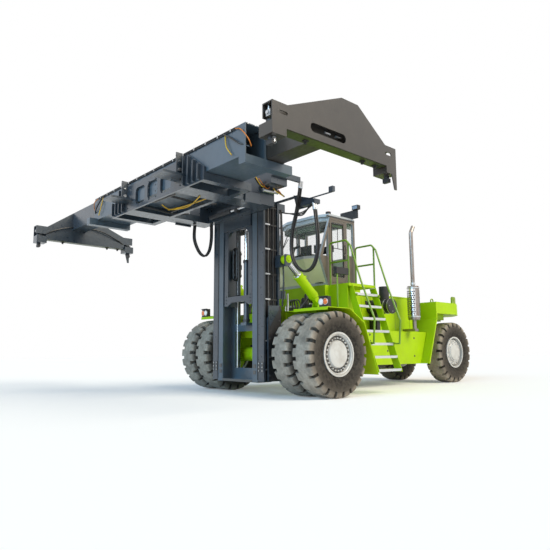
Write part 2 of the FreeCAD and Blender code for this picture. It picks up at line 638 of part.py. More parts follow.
def counterweight():
    wall = [("weight_front_foot", "weight_foot"), ("weight_front_top", "weight_bottom"),
            ("arch_front", "weight_bottom"), ("weight_front_foot + weight_wall", "weight_foot")]
    front = plate("weight_wall", "X", wall, ("-weight_half", "weight_half"))
    tongue_half = "rail_outer - rail_wall - 5"
    tongue = block("weight_tongue", ("-(%s)" % tongue_half, tongue_half),
                   ("weight_front_foot", "arch_front"),
                   ("rail_bottom", "rail_top"))
    high = "weight_top - weight_block"
    plan = [("-weight_half", "weight_front_top"), ("weight_half", "weight_front_top"),
            ("weight_half", "tail_round_from"), ("tail_round_half", "tail_round_y"),
            ("tail_half", "tail_y"), ("-tail_half", "tail_y"),
            ("-tail_round_half", "tail_round_y"), ("-weight_half", "tail_round_from")]
    top = plate("weight_top_block", "Z", plan, (high, "weight_top"))
    core = block("weight_core", ("-weight_inner_half", "weight_inner_half"),
                 ("weight_front_top", "wheelbase - weight_inner_end"), ("weight_bottom", high))
    spine = block("weight_spine", ("-weight_spine_half", "weight_spine_half"),
                  ("weight_front_top", "tail_round_y"), ("weight_bottom", high))
    shoulder = block("weight_shoulder", ("-weight_half", "weight_half"),
                     ("weight_front_top", "arch_front"), ("weight_bottom", high))
    node("counterweight", fuse("counterweight_body", front, tongue, top, core, spine, shoulder))


chassis_frame()
node("fenders", *both(fender))
node("side_tanks", *both(side_tank))
counterweight()


# ---------------------------------------------------------------- engine bay

def engine_hood():
    outer = block("hood_outer", ("-hood_half", "hood_half"), ("hood_front", "hood_rear"),
                  ("rail_top", "hood_z - lid_wall - lid_gap"))
    inner = block("hood_inner", ("-(hood_half - hood_wall)", "hood_half - hood_wall"),
                  ("hood_front + hood_wall", "hood_rear - hood_wall"),
                  ("rail_top - 1", "hood_z"))
    node("engine_hood", cut("engine_hood_walls", outer, inner))
    node("hood_lid", block("lid_plate", ("-hood_half", "hood_half"),
                           ("hood_front", "hood_rear"), ("hood_z - lid_wall", "hood_z")))
    node("engine_block", block("engine", ("-engine_half", "engine_half"),
                               ("engine_front", "engine_rear"), ("engine_bottom", "engine_top")))


def exhaust_stack():
    centre = ("silencer_x", "silencer_y")
    silencer = rod("silencer", "Z", centre, "silencer_radius", ("silencer_bottom", "silencer_top"))
    x, y = size("silencer_x"), size("silencer_y")
    bottom, top = size("silencer_top") - 5, size("stack_top")
    radius = size("stack_radius")
    pipe = tube("stack_pipe", [(x, y, bottom), (x, y, top - 170), (x, y + 110, top)], radius, 140)
    drop = rod("silencer_drop", "Z", centre, "stack_radius", ("rail_top + 60", "silencer_bottom"))
    shelf = block("silencer_shelf", ("tank_outer - 120", "silencer_x + 60"),
                  ("silencer_y - 70", "silencer_y + 70"), ("rail_top", "rail_top + 60"))
    node("exhaust_stack", fuse("exhaust_stack_body", silencer, pipe, drop, shelf))


def air_cleaner():
    drum_part = rod("filter_drum", "X", ("filter_y", "filter_z"), "filter_radius",
                    ("hood_half + 10", "filter_end"))
    intake = rod("filter_intake", "Z", ("filter_end - snorkel_in", "filter_y"), "snorkel_radius",
                 ("filter_z", "snorkel_top"))
    foot = block("filter_foot", ("hood_half + 10", "tank_outer"),
                 ("filter_y - 60", "filter_y + 60"), ("rail_top", "filter_z"))
    node("air_cleaner", fuse("air_cleaner_body", drum_part, intake, foot))


engine_hood()
exhaust_stack()
air_cleaner()


# ---------------------------------------------------------------- cab

SIDE_VIEW = [("cab_front_floor", "floor_z"), ("cab_belt_y", "belt_z"),
             ("cab_roof_front", "roof_z - cab_roof_wall"), ("cab_rear", "roof_z - cab_roof_wall"),
             ("cab_rear", "floor_z")]


def cab_side_frame(side, sign):
    """One side of the cab: its outline with door or window openings."""
    whole = plate("side_sheet_" + side, "X", SIDE_VIEW,
                  across(sign, "cab_half_width - cab_post", "cab_half_width"))
    deep = across(sign, "cab_half_width - cab_post - 1", "cab_half_width + 1")
    quarter = block("quarter_window_" + side, deep, ("door_rear + cab_post", "cab_rear - cab_post"),
                    ("floor_z + window_rise", "roof_z - cab_roof_wall - cab_post"))
    if sign > 0:
        opening = block("door_opening", deep,
                        ("door_front - door_gap", "door_rear + door_gap"),
                        ("floor_z + door_sill", "roof_z - cab_roof_wall - cab_post"))
    else:
        opening = block("side_window_opening", deep, ("door_front", "door_rear"),
                        ("floor_z + window_rise", "roof_z - cab_roof_wall - cab_post"))
    nose = plate("nose_window_" + side, "X",
                 [("cab_belt_y + 85", "belt_z + 30"), ("door_front - 60", "belt_z + 30"),
                  ("door_front - 60", "roof_z - 380")], deep)
    return cut("cab_side_" + side, whole, quarter, opening, nose)


def bowed_sheet(name, half, front, rear, ends):
    """A level sheet whose front edge follows the cab's bow."""
    plan = [("-(%s)" % half, front), ("-cab_flat_half", front + " - cab_bow"),
            ("cab_flat_half", front + " - cab_bow"), (half, front), (half, rear),
            ("-(%s)" % half, rear)]
    return plate(name, "Z", plan, ends)


def cab():
    inner_half = "cab_half_width - cab_post"
    inside = ("-(%s)" % inner_half, inner_half)
    node("cab_floor", bowed_sheet("floor_sheet", "cab_half_width", "cab_front_floor", "cab_rear",
                                  ("floor_z - cab_floor_wall", "floor_z")))
    ceiling = "roof_z - cab_roof_wall"
    header = bowed("front_header", [("cab_roof_front + 5", ceiling + " - header_deep"),
                                    ("cab_roof_front + 70", ceiling + " - header_deep"),
                                    ("cab_roof_front + 70", ceiling),
                                    ("cab_roof_front + 5", ceiling)], inner_half)
    rear_header = block("rear_header", inside, ("cab_rear - cab_post", "cab_rear"),
                        (ceiling + " - header_deep", ceiling))
    belt = bowed("belt_bar", [("cab_belt_y + 20", "belt_z - belt_half"),
                              ("cab_belt_y + 70", "belt_z - belt_half"),
                              ("cab_belt_y + 70", "belt_z + belt_half"),
                              ("cab_belt_y + 20", "belt_z + belt_half")], inner_half)
    node("cab_frame", fuse("cab_frame_body", header, rear_header, belt, *both(cab_side_frame)))
    node("cab_roof", bowed_sheet("roof_sheet", "cab_half_width", "cab_roof_front - roof_peak",
                                 "cab_rear", (ceiling, "roof_z")))
    under_belt = "belt_z - belt_half - 2"
    front_wall = bowed("front_sheet", [("cab_front_floor", "floor_z"),
                                       ("cab_belt_y + 8", under_belt),
                                       ("cab_belt_y + 8 + cab_wall", under_belt),
                                       ("cab_front_floor + cab_wall", "floor_z")], inner_half)
    rear_wall = block("rear_sheet", inside, ("cab_rear - cab_wall", "cab_rear"),
                      ("floor_z", "floor_z + window_rise"))
    node("cab_walls", front_wall, rear_wall)
    over_belt = "belt_z + belt_half + 2"
    under_roof = ceiling + " - 2"
    node("windscreen", bowed("windscreen_body", [
        ("cab_belt_y", over_belt), ("cab_belt_y + glass_wall", over_belt),
        ("cab_belt_y + glass_wall - glass_bulge", "belt_z + glass_bulge_rise"),
        ("cab_roof_front - glass_wall", under_roof), ("cab_roof_front - 2 * glass_wall", under_roof),
        ("cab_belt_y - glass_bulge", "belt_z + glass_bulge_rise")], inner_half))
    pane_top = ceiling + " - header_deep - 2"
    panes = [block("rear_pane", inside, ("cab_rear - pane_set_in", "cab_rear - pane_set_in + glass_wall"),
                   ("floor_z + window_rise + 2", pane_top))]
    for side, sign in (("left", 1), ("right", -1)):
        deep = across(sign, "cab_half_width - pane_set_in", "cab_half_width - pane_set_in + glass_wall")
        tall = ("floor_z + window_rise + 1", ceiling + " - cab_post - 1")
        panes.append(block("quarter_pane_" + side, deep,
                           ("door_rear + cab_post + 1", "cab_rear - cab_post - 1"), tall))
        if sign < 0:
            panes.append(block("side_pane", deep, ("door_front + 1", "door_rear - 1"), tall))
    node("cab_windows", *panes)


def cab_door():
    deep = ("cab_half_width - cab_wall", "cab_half_width")
    sheet_part = block("door_sheet", deep, ("door_front", "door_rear"),
                       ("floor_z + door_sill + door_gap",
                        "roof_z - cab_roof_wall - cab_post - door_gap"))
    window = block("door_window_opening", ("cab_half_width - cab_wall - 1", "cab_half_width + 1"),
                   ("door_front + 60", "door_rear - 60"),
                   ("floor_z + door_window_rise", "roof_z - cab_roof_wall - cab_post - 60"))
    node("cab_door", cut("cab_door_body", sheet_part, window))
    node("door_window", block("door_pane", ("cab_half_width - 24", "cab_half_width - 16"),
                              ("door_front + 61", "door_rear - 61"),
                              ("floor_z + door_window_rise + 1",
                               "roof_z - cab_roof_wall - cab_post - 61")))


def driver_seat():
    half = "seat_wide / 2"
    rear = "seat_front + seat_deep"
    pedestal = block("seat_pedestal", ("-%s + 60" % half, "%s - 60" % half),
                     ("seat_front + 80", rear + " - 80"), ("floor_z", "floor_z + seat_rise"))
    cushion = block("seat_cushion", ("-" + half, half), ("seat_front", rear),
                    ("floor_z + seat_rise", "floor_z + seat_rise + seat_thick"))
    back = block("seat_back", ("-" + half, half), (rear + " - 80", rear + " + 50"),
                 ("floor_z + seat_rise + seat_thick", "floor_z + seat_back_rise"))
    node("driver_seat", fuse("driver_seat_body", pedestal, cushion, back))


def steering_console():
    top = "floor_z + console_rise"
    column = block("console_column", ("-60", "60"), ("console_y", "console_y + 90"),
                   ("floor_z", top))
    panel = block("console_panel", ("-console_half", "console_half"),
                  ("console_y - 120", "console_y + 40"), (top, top + " + 80"))
    wheel = ring("console_wheel", "Z", ("0", "console_y + 120"), "wheel_radius",
                 "wheel_radius - 32", (top + " + 80", top + " + 110"))
    spoke = block("wheel_spoke", ("-(wheel_radius - 20)", "wheel_radius - 20"),
                  ("console_y", "console_y + 140"), (top + " + 80", top + " + 100"))
    node("steering_console", fuse("steering_console_body", column, panel, wheel, spoke))


cab()
cab_door()
driver_seat()
steering_console()


# ---------------------------------------------------------------- way up

def platform(side, sign):
    """The walkway beside the cab, with the skirt below its front edge."""
    low = "deck_z - platform_wall"
    floor = block("platform_floor_" + side, across(sign, "cab_base_half", "deck_outer"),
                  ("deck_front", "deck_rear"), (low, "deck_z"))
    skirt = block("platform_skirt_" + side, across(sign, "cab_base_half", "deck_outer - 40"),
                  ("deck_front", "deck_front + 15"), ("fender_z - 150", low))
    return fuse("platform_" + side, floor, skirt)


def cab_base():
    base = block("base_box", ("-cab_base_half", "cab_base_half"),
                 ("cab_base_front", "cab_rear + cab_base_back"), ("rail_top + 5", "deck_z"))
    node("cab_base", fuse("cab_base_body", base, *both(platform)))


def stair(side, sign):
    foot_out, foot_z = "stair_foot_x", "stair_foot_z"
    top_out = "deck_outer + stair_gap"
    view = [(signed(sign, foot_out), foot_z), (signed(sign, top_out), "deck_z - 8"),
            (signed(sign, top_out), "deck_z - platform_wall - stair_gap"),
            (signed(sign, top_out + " - stair_deep + 30"), "deck_z - platform_wall - stair_gap"),
            (signed(sign, foot_out + " - stair_deep"), foot_z)]
    front = plate("stringer_front_" + side, "Y", view,
                  ("stair_front - stair_wall", "stair_front"))
    rear = plate("stringer_rear_" + side, "Y", view, ("deck_rear - stair_wall", "deck_rear"))
    parts = [front, rear]
    count = int(SIZES["tread_count"])
    for index in range(count):
        share = (index + 0.06) / count
        low_x = "(stair_foot_x + (deck_outer + stair_gap - stair_foot_x) * %.4f)" % share
        low_z = "(stair_foot_z + (deck_z - stair_foot_z) * %.4f)" % share
        parts.append(block("tread_%s_%d" % (side, index),
                           across(sign, low_x + " - stair_deep - 15", low_x + " - 15"),
                           ("stair_front", "deck_rear - stair_wall"),
                           (low_z, low_z + " + tread_high")))
    return fuse("stair_" + side, *parts)


def handrail(side, sign):
    """Two hoops beside the platform and the two rails down the stair."""
    radius = size("rail_tube")
    top = size("deck_z") - 30 + size("hoop_rise")
    middle = size("deck_z") - 30 + size("hoop_middle")
    inner = size("hoop_inner") * sign
    outer = (size("deck_outer") - 30) * sign
    foot_out = size("stair_foot_x") * sign
    parts = []
    deck = size("deck_z")
    for spot, y, base in (("front", size("hoop_front_y"), deck),
                          ("rear", size("deck_rear") + radius + 2, deck - size("platform_wall") / 2)):
        foot_z = size("stair_foot_z") + 560
        run = [(inner, y, base), (inner, y, top), (outer - 60 * sign, y, top),
               (outer + 60 * sign, y, top - 130), (outer + 330 * sign, y, deck),
               (foot_out - 30 * sign, y, foot_z + 500), (foot_out - 70 * sign, y, foot_z)]
        parts.append(tube("rail_run_%s_%s" % (spot, side), run, radius, 60))
        parts.append(tube("rail_post_%s_%s" % (spot, side),
                          [(outer, y, base), (outer, y, top - 70)], radius))
        parts.append(tube("rail_middle_%s_%s" % (spot, side),
                          [(inner, y, middle), (outer, y, middle)], radius))
        parts.append(tube("rail_foot_%s_%s" % (spot, side),
                          [(foot_out - 70 * sign, y, foot_z + 15),
                           (foot_out - 330 * sign, y, foot_z + 15)], radius * 0.8))
    return fuse("handrail_" + side, *parts)


cab_base()
node("stairs", *both(stair))
node("handrails", *both(handrail))


# ---------------------------------------------------------------- mast

def column(name, sign, low_x, high_x, front, rear, bottom, top, open_inward):
    """An upright of two flanges and a web, in plan an I or a channel."""
    stretch = across(sign, low_x, high_x)
    parts = [block(name + "_front", stretch, (front, front + " + flange_wall"), (bottom, top)),
             block(name + "_rear", stretch, (rear + " - flange_wall", rear), (bottom, top))]
    if open_inward:
        web = across(sign, high_x + " - web_wall", high_x)
    else:
        middle = "((%s) + (%s)) / 2" % (low_x, high_x)
        web = across(sign, middle + " - web_wall / 2", middle + " + web_wall / 2")
    parts.append(block(name + "_web", web, (front + " + flange_wall", rear + " - flange_wall"),
                       (bottom, top)))
    return parts


def mast_outer():
    parts = []
    bars = (("low", "mast_bottom", "low_bar_high"),
            ("middle", "hanger_top + 150", "crossbar_high"),
            ("high", "mast_top - crossbar_high", "crossbar_high"))
    for side, sign in (("left", 1), ("right", -1)):
        parts += column("outer_" + side, sign, "column_in", "mast_half", "mast_front",
                        "mast_rear", "mast_bottom", "mast_top", False)
        view = [("mast_front + 75", "mast_bottom"), ("pivot_y - 60", "mast_bottom"),
                ("pivot_y + 80", "pivot_z - 100"), ("pivot_y + 80", "pivot_z + 100"),
                ("mast_rear", "pivot_z + 350"), ("mast_rear", "hanger_top"),
                ("mast_front + 215", "hanger_top"), ("mast_front + 75", "hanger_top - 250")]
        hanger = plate("hanger_sheet_" + side, "X", view, across(
            sign, "mast_half + hanger_gap", "mast_half + hanger_gap + hanger_wall"))
        parts.append(cut("hanger_" + side, hanger,
                         rod("hanger_bore_" + side, "X", ("pivot_y", "pivot_z"), "pivot_pin + 3",
                             across(sign, "mast_half - 10", "mast_half + 120"))))
        parts.append(block("hanger_pad_" + side, across(
            sign, "mast_half", "mast_half + hanger_gap"),
            ("mast_front + 75", "mast_rear"), ("pivot_z + 350", "hanger_top - 250")))
        for level, low, high in bars:
            parts.append(block("bar_cheek_%s_%s" % (level, side),
                               across(sign, "column_in", "mast_half"),
                               ("mast_rear", "mast_rear + crossbar_back"),
                               (low, "%s + %s" % (low, high))))
        clear = "tilt_eye_wide / 2 + lug_gap"
        ear = [("mast_rear - 40", "tilt_eye_z - 150"), ("mast_rear + 30", "tilt_eye_z - 120"),
               ("mast_rear + 75", "tilt_eye_z"), ("mast_rear + 30", "tilt_eye_z + 90"),
               ("mast_rear - 110", "tilt_eye_z + 90"), ("mast_rear - 110", "tilt_eye_z - 150")]
        parts.append(plate("tilt_ear_" + side, "X", ear,
                           across(sign, "mast_half", "tilt_x - (%s)" % clear)))
        parts.append(plate("tilt_ear_out_" + side, "X", ear, across(
            sign, "tilt_x + %s" % clear, "tilt_x + %s + tilt_lug" % clear)))
        parts.append(rod("tilt_eye_pin_" + side, "X", ("-tilt_eye_y", "tilt_eye_z"), "tilt_pin",
                         across(sign, "tilt_x - (%s) - 10" % clear,
                                "tilt_x + %s + tilt_lug" % clear)))
    for level, low, high in bars:
        parts.append(block("outer_bar_" + level, ("-mast_half", "mast_half"),
                           ("mast_rear + crossbar_back - crossbar_wall",
                            "mast_rear + crossbar_back"), (low, "%s + %s" % (low, high))))
    node("mast_outer", fuse("mast_outer_body", *parts))


def lift_cylinder(side, sign):
    return ring("lift_barrel_" + side, "Z", (signed(sign, "lift_x"), "-lift_y"),
                "lift_bore + lift_wall", "lift_bore",
                ("lift_bottom", "mast_top - gland_below_top"))


def lift_rod(side, sign):
    return rod("lift_rod_" + side, "Z", (signed(sign, "lift_x"), "-lift_y"), "lift_rod",
               ("lift_bottom + 200", "inner_top - 80"))


def mast_inner():
    parts = []
    foot = "mast_bottom - inner_foot"
    for side, sign in (("left", 1), ("right", -1)):
        parts += column("inner_" + side, sign, "inner_in", "inner_out", "mast_front",
                        "inner_rear", foot, "inner_top", True)
    parts.append(block("inner_foot_bar", ("-inner_in", "inner_in"),
                       ("mast_front", "mast_front + flange_wall"), (foot, foot + " + foot_bar")))
    parts.append(block("inner_low_bar", ("-inner_in", "inner_in"),
                       ("inner_rear - flange_wall", "inner_rear"), (foot, foot + " + 260")))
    parts.append(block("inner_middle_bar", ("-inner_in", "inner_in"),
                       ("inner_rear - flange_wall", "inner_rear"),
                       ("free_bottom - 170", "free_bottom - 20")))
    parts.append(block("free_cylinder_step", ("free_x - 90", "free_x + 90"),
                       ("-free_y - 80", "inner_rear"), ("free_bottom - 60", "free_bottom")))
    parts.append(block("inner_head", ("-inner_out", "inner_out"),
                       ("inner_rear - flange_wall", "-lift_y + 55"),
                       ("inner_top - 80", "inner_top")))
    node("mast_inner", fuse("mast_inner_body", *parts))


def free_lift():
    """The middle cylinder that lifts the carriage before the inner mast rises."""
    centre = ("free_x", "-free_y")
    node("free_lift_cylinder", ring("free_barrel", "Z", centre, "free_barrel_radius", "free_bore",
                                    ("free_bottom", "free_top")))
    shaft = rod("free_rod", "Z", centre, "free_rod_radius", ("free_top - 620", "free_top + 640"))
    head = block("free_head", ("free_x - 210", "free_x + 60"), ("-free_y - 60", "-free_y + 60"),
                 ("free_top + 630", "free_top + 700"))
    pulley = rod("free_pulley", "X", ("-free_y", "free_top + 665"), "free_pulley",
                 ("free_x - 200", "free_x - 110"))
    node("free_lift_rod", fuse("free_lift_rod_body", shaft, head, pulley))


mast_outer()
node("lift_cylinders", *both(lift_cylinder))
mast_inner()
node("lift_rods", *both(lift_rod))
free_lift()


# ---------------------------------------------------------------- tilt cylinders

def leaning(name, whole, sign):
    """Stands a piece made along Z on the tilt cylinder's foot and leans it."""
    held = group(name, whole)
    held.Placement = FreeCAD.Placement(FreeCAD.Vector(), FreeCAD.Rotation(FreeCAD.Vector(1, 0, 0), 1))
    bind(held, Placement__Rotation__Angle="tilt_lean", Placement__Base__x=signed(sign, "tilt_x"),
         Placement__Base__y="tilt_foot_y", Placement__Base__z="tilt_foot_z")
    return held


def tilt_cylinder(side, sign):
    origin = ("0", "0")
    eye_ends = ("-tilt_eye_wide / 2", "tilt_eye_wide / 2")
    barrel = rod("tilt_tube_" + side, "Z", origin, "tilt_barrel",
                 ("tilt_barrel_foot", "tilt_barrel_end"))
    foot = rod("tilt_foot_eye_" + side, "X", origin, "tilt_eye_radius", eye_ends)
    neck = block("tilt_foot_neck_" + side, ("-tilt_eye_wide / 2", "tilt_eye_wide / 2"),
                 ("-70", "70"), ("0", "tilt_barrel_foot + 30"))
    solid = fuse("tilt_barrel_solid_" + side, barrel, foot, neck)
    bore = rod("tilt_bore_" + side, "Z", origin, "tilt_bore", ("250", "tilt_barrel_end + 1"))
    pin_hole = rod("tilt_foot_hole_" + side, "X", origin, "tilt_pin + 2",
                   ("-tilt_eye_wide", "tilt_eye_wide"))
    hollow = cut("tilt_barrel_hollow_" + side, solid, bore, pin_hole)
    node("tilt_barrel_" + side, leaning("tilt_barrel_set_" + side, hollow, sign))
    shaft = rod("tilt_shaft_" + side, "Z", origin, "tilt_rod",
                ("tilt_barrel_end - 300", "tilt_length - 40"))
    eye = rod("tilt_rod_eye_" + side, "X", ("0", "tilt_length"), "tilt_eye_radius", eye_ends)
    eye_hole = rod("tilt_eye_hole_" + side, "X", ("0", "tilt_length"), "tilt_eye_bore",
                   ("-tilt_eye_wide", "tilt_eye_wide"))
    rod_part = cut("tilt_rod_cut_" + side, fuse("tilt_rod_solid_" + side, shaft, eye), eye_hole)
    node("tilt_rod_" + side, leaning("tilt_rod_set_" + side, rod_part, sign))


for side, sign in (("left", 1), ("right", -1)):
    tilt_cylinder(side, sign)


# ---------------------------------------------------------------- carriage, cradle

def lift_carriage():
    front, back = "mast_front + 15", "mast_front + 15 + carriage_wall"
    face = block("carriage_face", ("-carriage_half", "carriage_half"), (front, back),
                 ("carriage_bottom", "carriage_top"))
    inside = ("-(carriage_half - carriage_rail)", "carriage_half - carriage_rail")
    window = block("carriage_window", inside, (front + " - 1", back + " + 1"),
                   ("carriage_bar_top", "carriage_arch"))
    gap = block("carriage_gap_below", inside, (front + " - 1", back + " + 1"),
                ("carriage_bottom - 1", "carriage_bar_bottom"))
    parts = [cut("carriage_face_open", face, window, gap)]
    for side, sign in (("left", 1), ("right", -1)):
        parts.append(block("carriage_side_" + side,
                           across(sign, "carriage_half - 45", "carriage_half"),
                           (back, "inner_rear - flange_wall - 20"),
                           ("carriage_bottom", "carriage_top")))
        for spot, height in (("low", "carriage_bottom + 160"), ("high", "carriage_top - 300")):
            parts.append(rod("roller_%s_%s" % (spot, side), "X",
                             ("(mast_front + inner_rear) / 2", height), "roller_radius", across(
                                 sign, "carriage_half", "inner_out - web_wall - 8")))
    parts.append(block("carriage_neck", ("-carriage_half", "carriage_half"),
                       ("mast_front - beam_behind", front), ("carriage_arch + 20", "carriage_top")))
    node("lift_carriage", fuse("lift_carriage_body", *parts))


def beam_opening(name, centre, ends):
    """A window of the front beam: an upright slot with a rounded top and bottom."""
    wide = (centre + " - window_wide / 2", centre + " + window_wide / 2")
    low, high = "arm_under + beam_window_rise", "arm_under + beam_window_rise + window_high"
    parts = [block(name + "_middle", wide, ends, (low + " + window_round", high + " - window_round")),
             block(name + "_tall", (wide[0] + " + window_round", wide[1] + " - window_round"),
                   ends, (low, high))]
    for x_spot, x in (("left", wide[1] + " - window_round"), ("right", wide[0] + " + window_round")):
        for z_spot, z in (("low", low + " + window_round"), ("high", high + " - window_round")):
            parts.append(rod("%s_%s_%s" % (name, x_spot, z_spot), "Y", (x, z), "window_round", ends))
    return fuse(name, *parts)


def cradle_side(side, sign):
    """One side of the cradle: its arm, front wing, shelf, lug and ribs."""
    front = "cradle_front - front_beam_deep"
    rear = "mast_front - beam_behind"
    parts = [block("cradle_arm_" + side, across(sign, "arm_inner", "arm_outer"), (front, rear),
                   ("arm_under", "arm_top"))]
    wing = [("front_beam_half", "arm_under"), ("wing_half", "arm_under"),
            ("wing_half", "arm_under + wing_low_side"), ("wing_top_x", "arm_under + wing_high"),
            ("front_beam_half", "arm_under + wing_high")]
    if sign < 0:
        wing = [("-(%s)" % x, z) for x, z in wing]
    parts.append(plate("wing_" + side, "Y", wing, (front, "cradle_front")))
    for index in range(int(SIZES["rib_count"])):
        x = "front_beam_half + 60 + %d * rib_pitch" % index
        slope = "(%s - wing_top_x) / (wing_half - wing_top_x)" % x
        top = "arm_under + wing_high - 20 - (wing_high - wing_low_side) * max(0; %s)" % slope
        parts.append(block("rib_%s_%d" % (side, index), across(sign, x, x + " + rib_wall"),
                           (front + " - rib_out", front), ("arm_under + 20", top)))
    parts.append(block("side_arm_" + side, across(sign, "side_arm_in", "wing_half"),
                       ("cradle_front", "-side_arm_rear"), ("arm_under", "arm_top")))
    parts.append(block("side_link_" + side, across(sign, "arm_outer", "side_arm_in"),
                       ("-side_arm_rear - side_arm_deep", "-side_arm_rear"),
                       ("arm_under", "arm_top")))
    parts.append(block("shelf_" + side, across(sign, "arm_inner", "shelf_outer"),
                       (front + " - shelf_reach", front),
                       ("arm_under + shelf_rise", "arm_under + shelf_rise + shelf_wall")))
    parts.append(block("lug_" + side, across(sign, "shelf_inner", "shelf_inner + rib_wall"),
                       (front + " - 2 * rib_out", front),
                       ("arm_under + shelf_rise + shelf_wall",
                        "arm_under + shelf_rise + shelf_wall + 2 * lug_rise")))
    parts.append(block("cheek_plate_" + side, across(sign, "arm_outer", "arm_outer + cheek_plate_wall"),
                       ("-cross_front - 340", "-cross_front + 40"), ("arm_under - 30", "arm_top + 35")))
    parts.append(block("cross_foot_" + side, across(sign, "arm_inner", "arm_outer"),
                       ("-cross_front", rear), ("arm_top", "cross_bottom")))
    return parts


def cradle():
    """The frame that carries the spreader from below, hung on the carriage."""
    rear = "mast_front - beam_behind"
    parts = [block("mast_beam", ("-arm_inner", "arm_inner"), (rear + " - beam_deep", rear),
                   ("arm_under", "arm_under + beam_rise"))]
    ends = ("cradle_front - front_beam_deep - 1", "cradle_front + 1")
    count = int(SIZES["window_count"])
    holes = [beam_opening("beam_window_%d" % index,
                          "(%s * window_pitch)" % (index - (count - 1) / 2), ends)
             for index in range(count)]
    front_beam = block("front_beam", ("-front_beam_half", "front_beam_half"),
                       ("cradle_front - front_beam_deep", "cradle_front"),
                       ("arm_under", "arm_under + front_beam_high"))
    parts.append(cut("front_beam_open", front_beam, *holes))
    parts.append(block("middle_beam", ("-arm_outer", "arm_outer"),
                       ("cradle_rear", "cradle_rear + middle_beam_deep"),
                       ("arm_under", "arm_under + middle_beam_high")))
    parts.append(block("cross_beam", ("-cross_half", "cross_half"), ("-cross_front", rear),
                       ("cross_bottom", "cross_top")))
    for side, sign in (("left", 1), ("right", -1)):
        parts += cradle_side(side, sign)
    hose_low = "cross_top - hose_arm_high"
    parts.append(block("hose_arm", ("cross_half", "cross_half + hose_arm_wall"),
                       ("-cross_front", "-hose_arm_end"), (hose_low, "cross_top")))
    node("cradle", fuse("cradle_body", *parts))


def hose_bracket():
    """The bracket on the inner mast's head that holds the hoses' lower ends and a lamp."""
    deep = ("-bracket_y - bracket_wall / 2", "-bracket_y + bracket_wall / 2")
    bar_top = "bracket_low + bracket_bar"
    sheet_view = [("bracket_in", "bracket_top"), ("bracket_in + 90", "bracket_low"),
                  ("bracket_end", "bracket_low"), ("bracket_end", bar_top)]
    parts = [block("bracket_foot", ("inner_out", "inner_out + 100"), ("-bracket_foot_y", deep[1]),
                   ("mast_top + 10", "inner_top")),
             block("bracket_reach", ("inner_out + 50", "bracket_in + 120"), deep,
                   ("mast_top + 10", "inner_top")),
             plate("bracket_sheet", "Y", sheet_view, deep),
             block("bracket_bar", ("bracket_out", "bracket_end"), ("-bracket_bar_y", deep[1]),
                   ("bracket_low", bar_top)),
             rod("lamp_arm", "X", ("-bracket_y", "lamp_arm_z"), "lamp_arm_radius",
                 ("bracket_out - 10", "lamp_arm_end")),
             block("lamp_box", ("lamp_arm_end - lamp_box / 2", "lamp_arm_end + lamp_box / 2"),
                   ("-bracket_y - lamp_box / 3", "-bracket_y + lamp_box / 3"),
                   ("lamp_arm_z", "lamp_arm_z + lamp_box"))]
    node("hose_bracket", fuse("hose_bracket_body", *parts))


# The route of each hose in X and Z, from the end of the cradle's hose arm to the bracket.
HOSE_FRONT_Y, HOSE_REAR_Y = -469, -420
HOSE_ROUTE = [(1575, 4110), (1490, 3640), (1315, 3190), (1278, 2810), (1370, 2510), (1610, 2330),
              (1860, 2375), (2000, 2640), (2000, 3130), (1925, 3605)]


def hoses():
    """Two hoses side by side, as straight runs joined by arcs."""
    radius = size("hose_diameter") / 2
    for spot, y in (("front", HOSE_FRONT_Y), ("rear", HOSE_REAR_Y)):
        node("hose_" + spot, tube("hose_run_" + spot, [(x, y, z) for x, z in HOSE_ROUTE], radius))
    print("hose arc radii, mm:", arc_radii([(x, 0, z) for x, z in HOSE_ROUTE]))


lift_carriage()
cradle()
hose_bracket()
hoses()


# ---------------------------------------------------------------- spreader

def spreader_body():
    """Two square tubes side by side, with a deeper collar round each mouth."""
    front = "spreader_y - tube_offset - tube_wide / 2"
    rear = "spreader_y + tube_offset + tube_wide / 2"
    parts = [block("tube_outer", ("-tube_half", "tube_half"), (front, rear),
                   ("tube_bottom", "tube_top"))]
    for side, sign in (("left", 1), ("right", -1)):
        mouth = across(sign, "tube_half - collar_long", "tube_half")
        parts.append(block("collar_" + side, mouth, (front, rear),
                           ("tube_bottom - collar_drop", "tube_bottom")))
        out = (rear, rear + " + collar_out") if sign > 0 else (front + " - collar_out", front)
        parts.append(block("collar_step_" + side, mouth, out,
                           ("tube_bottom - collar_drop + collar_lip", "slide_bottom")))
        parts.append(block("collar_lip_" + side, mouth, out,
                           ("tube_bottom - collar_drop", "tube_bottom - collar_drop + collar_lip")))
    bores = []
    for name, way in (("rear", "+"), ("front", "-")):
        middle = "spreader_y %s tube_offset" % way
        bores.append(block("bore_" + name, ("-tube_half - 1", "tube_half + 1"),
                           (middle + " - (tube_wide / 2 - tube_wall)",
                            middle + " + (tube_wide / 2 - tube_wall)"),
                           ("tube_bottom + tube_wall", "tube_top - tube_wall")))
    node("spreader_body", cut("spreader_tubes", fuse("spreader_shell", *parts), *bores))


def end_beam_slot(name, side, sign, low, high, bottom, tall):
    """A long hole with round ends through an end beam's outer plate."""
    deep = across(sign, "end_out - end_plate_wall - 1", "end_out + 1")
    radius = "(%s) / 2" % tall
    middle = "%s + %s" % (bottom, radius)

    def along(offset):
        return "spreader_y + (%s) * %d" % (offset, sign)

    ends = (along(low + " + " + radius), along(high + " - " + radius))
    straight = block("%s_middle_%s" % (name, side), deep, ends if sign > 0 else ends[::-1],
                     (bottom, "%s + %s" % (bottom, tall)))
    rounds = [rod("%s_%s_%s" % (name, spot, side), "X", (y, middle), radius, deep)
              for spot, y in zip(("from", "to"), ends)]
    return fuse("%s_%s" % (name, side), straight, *rounds)


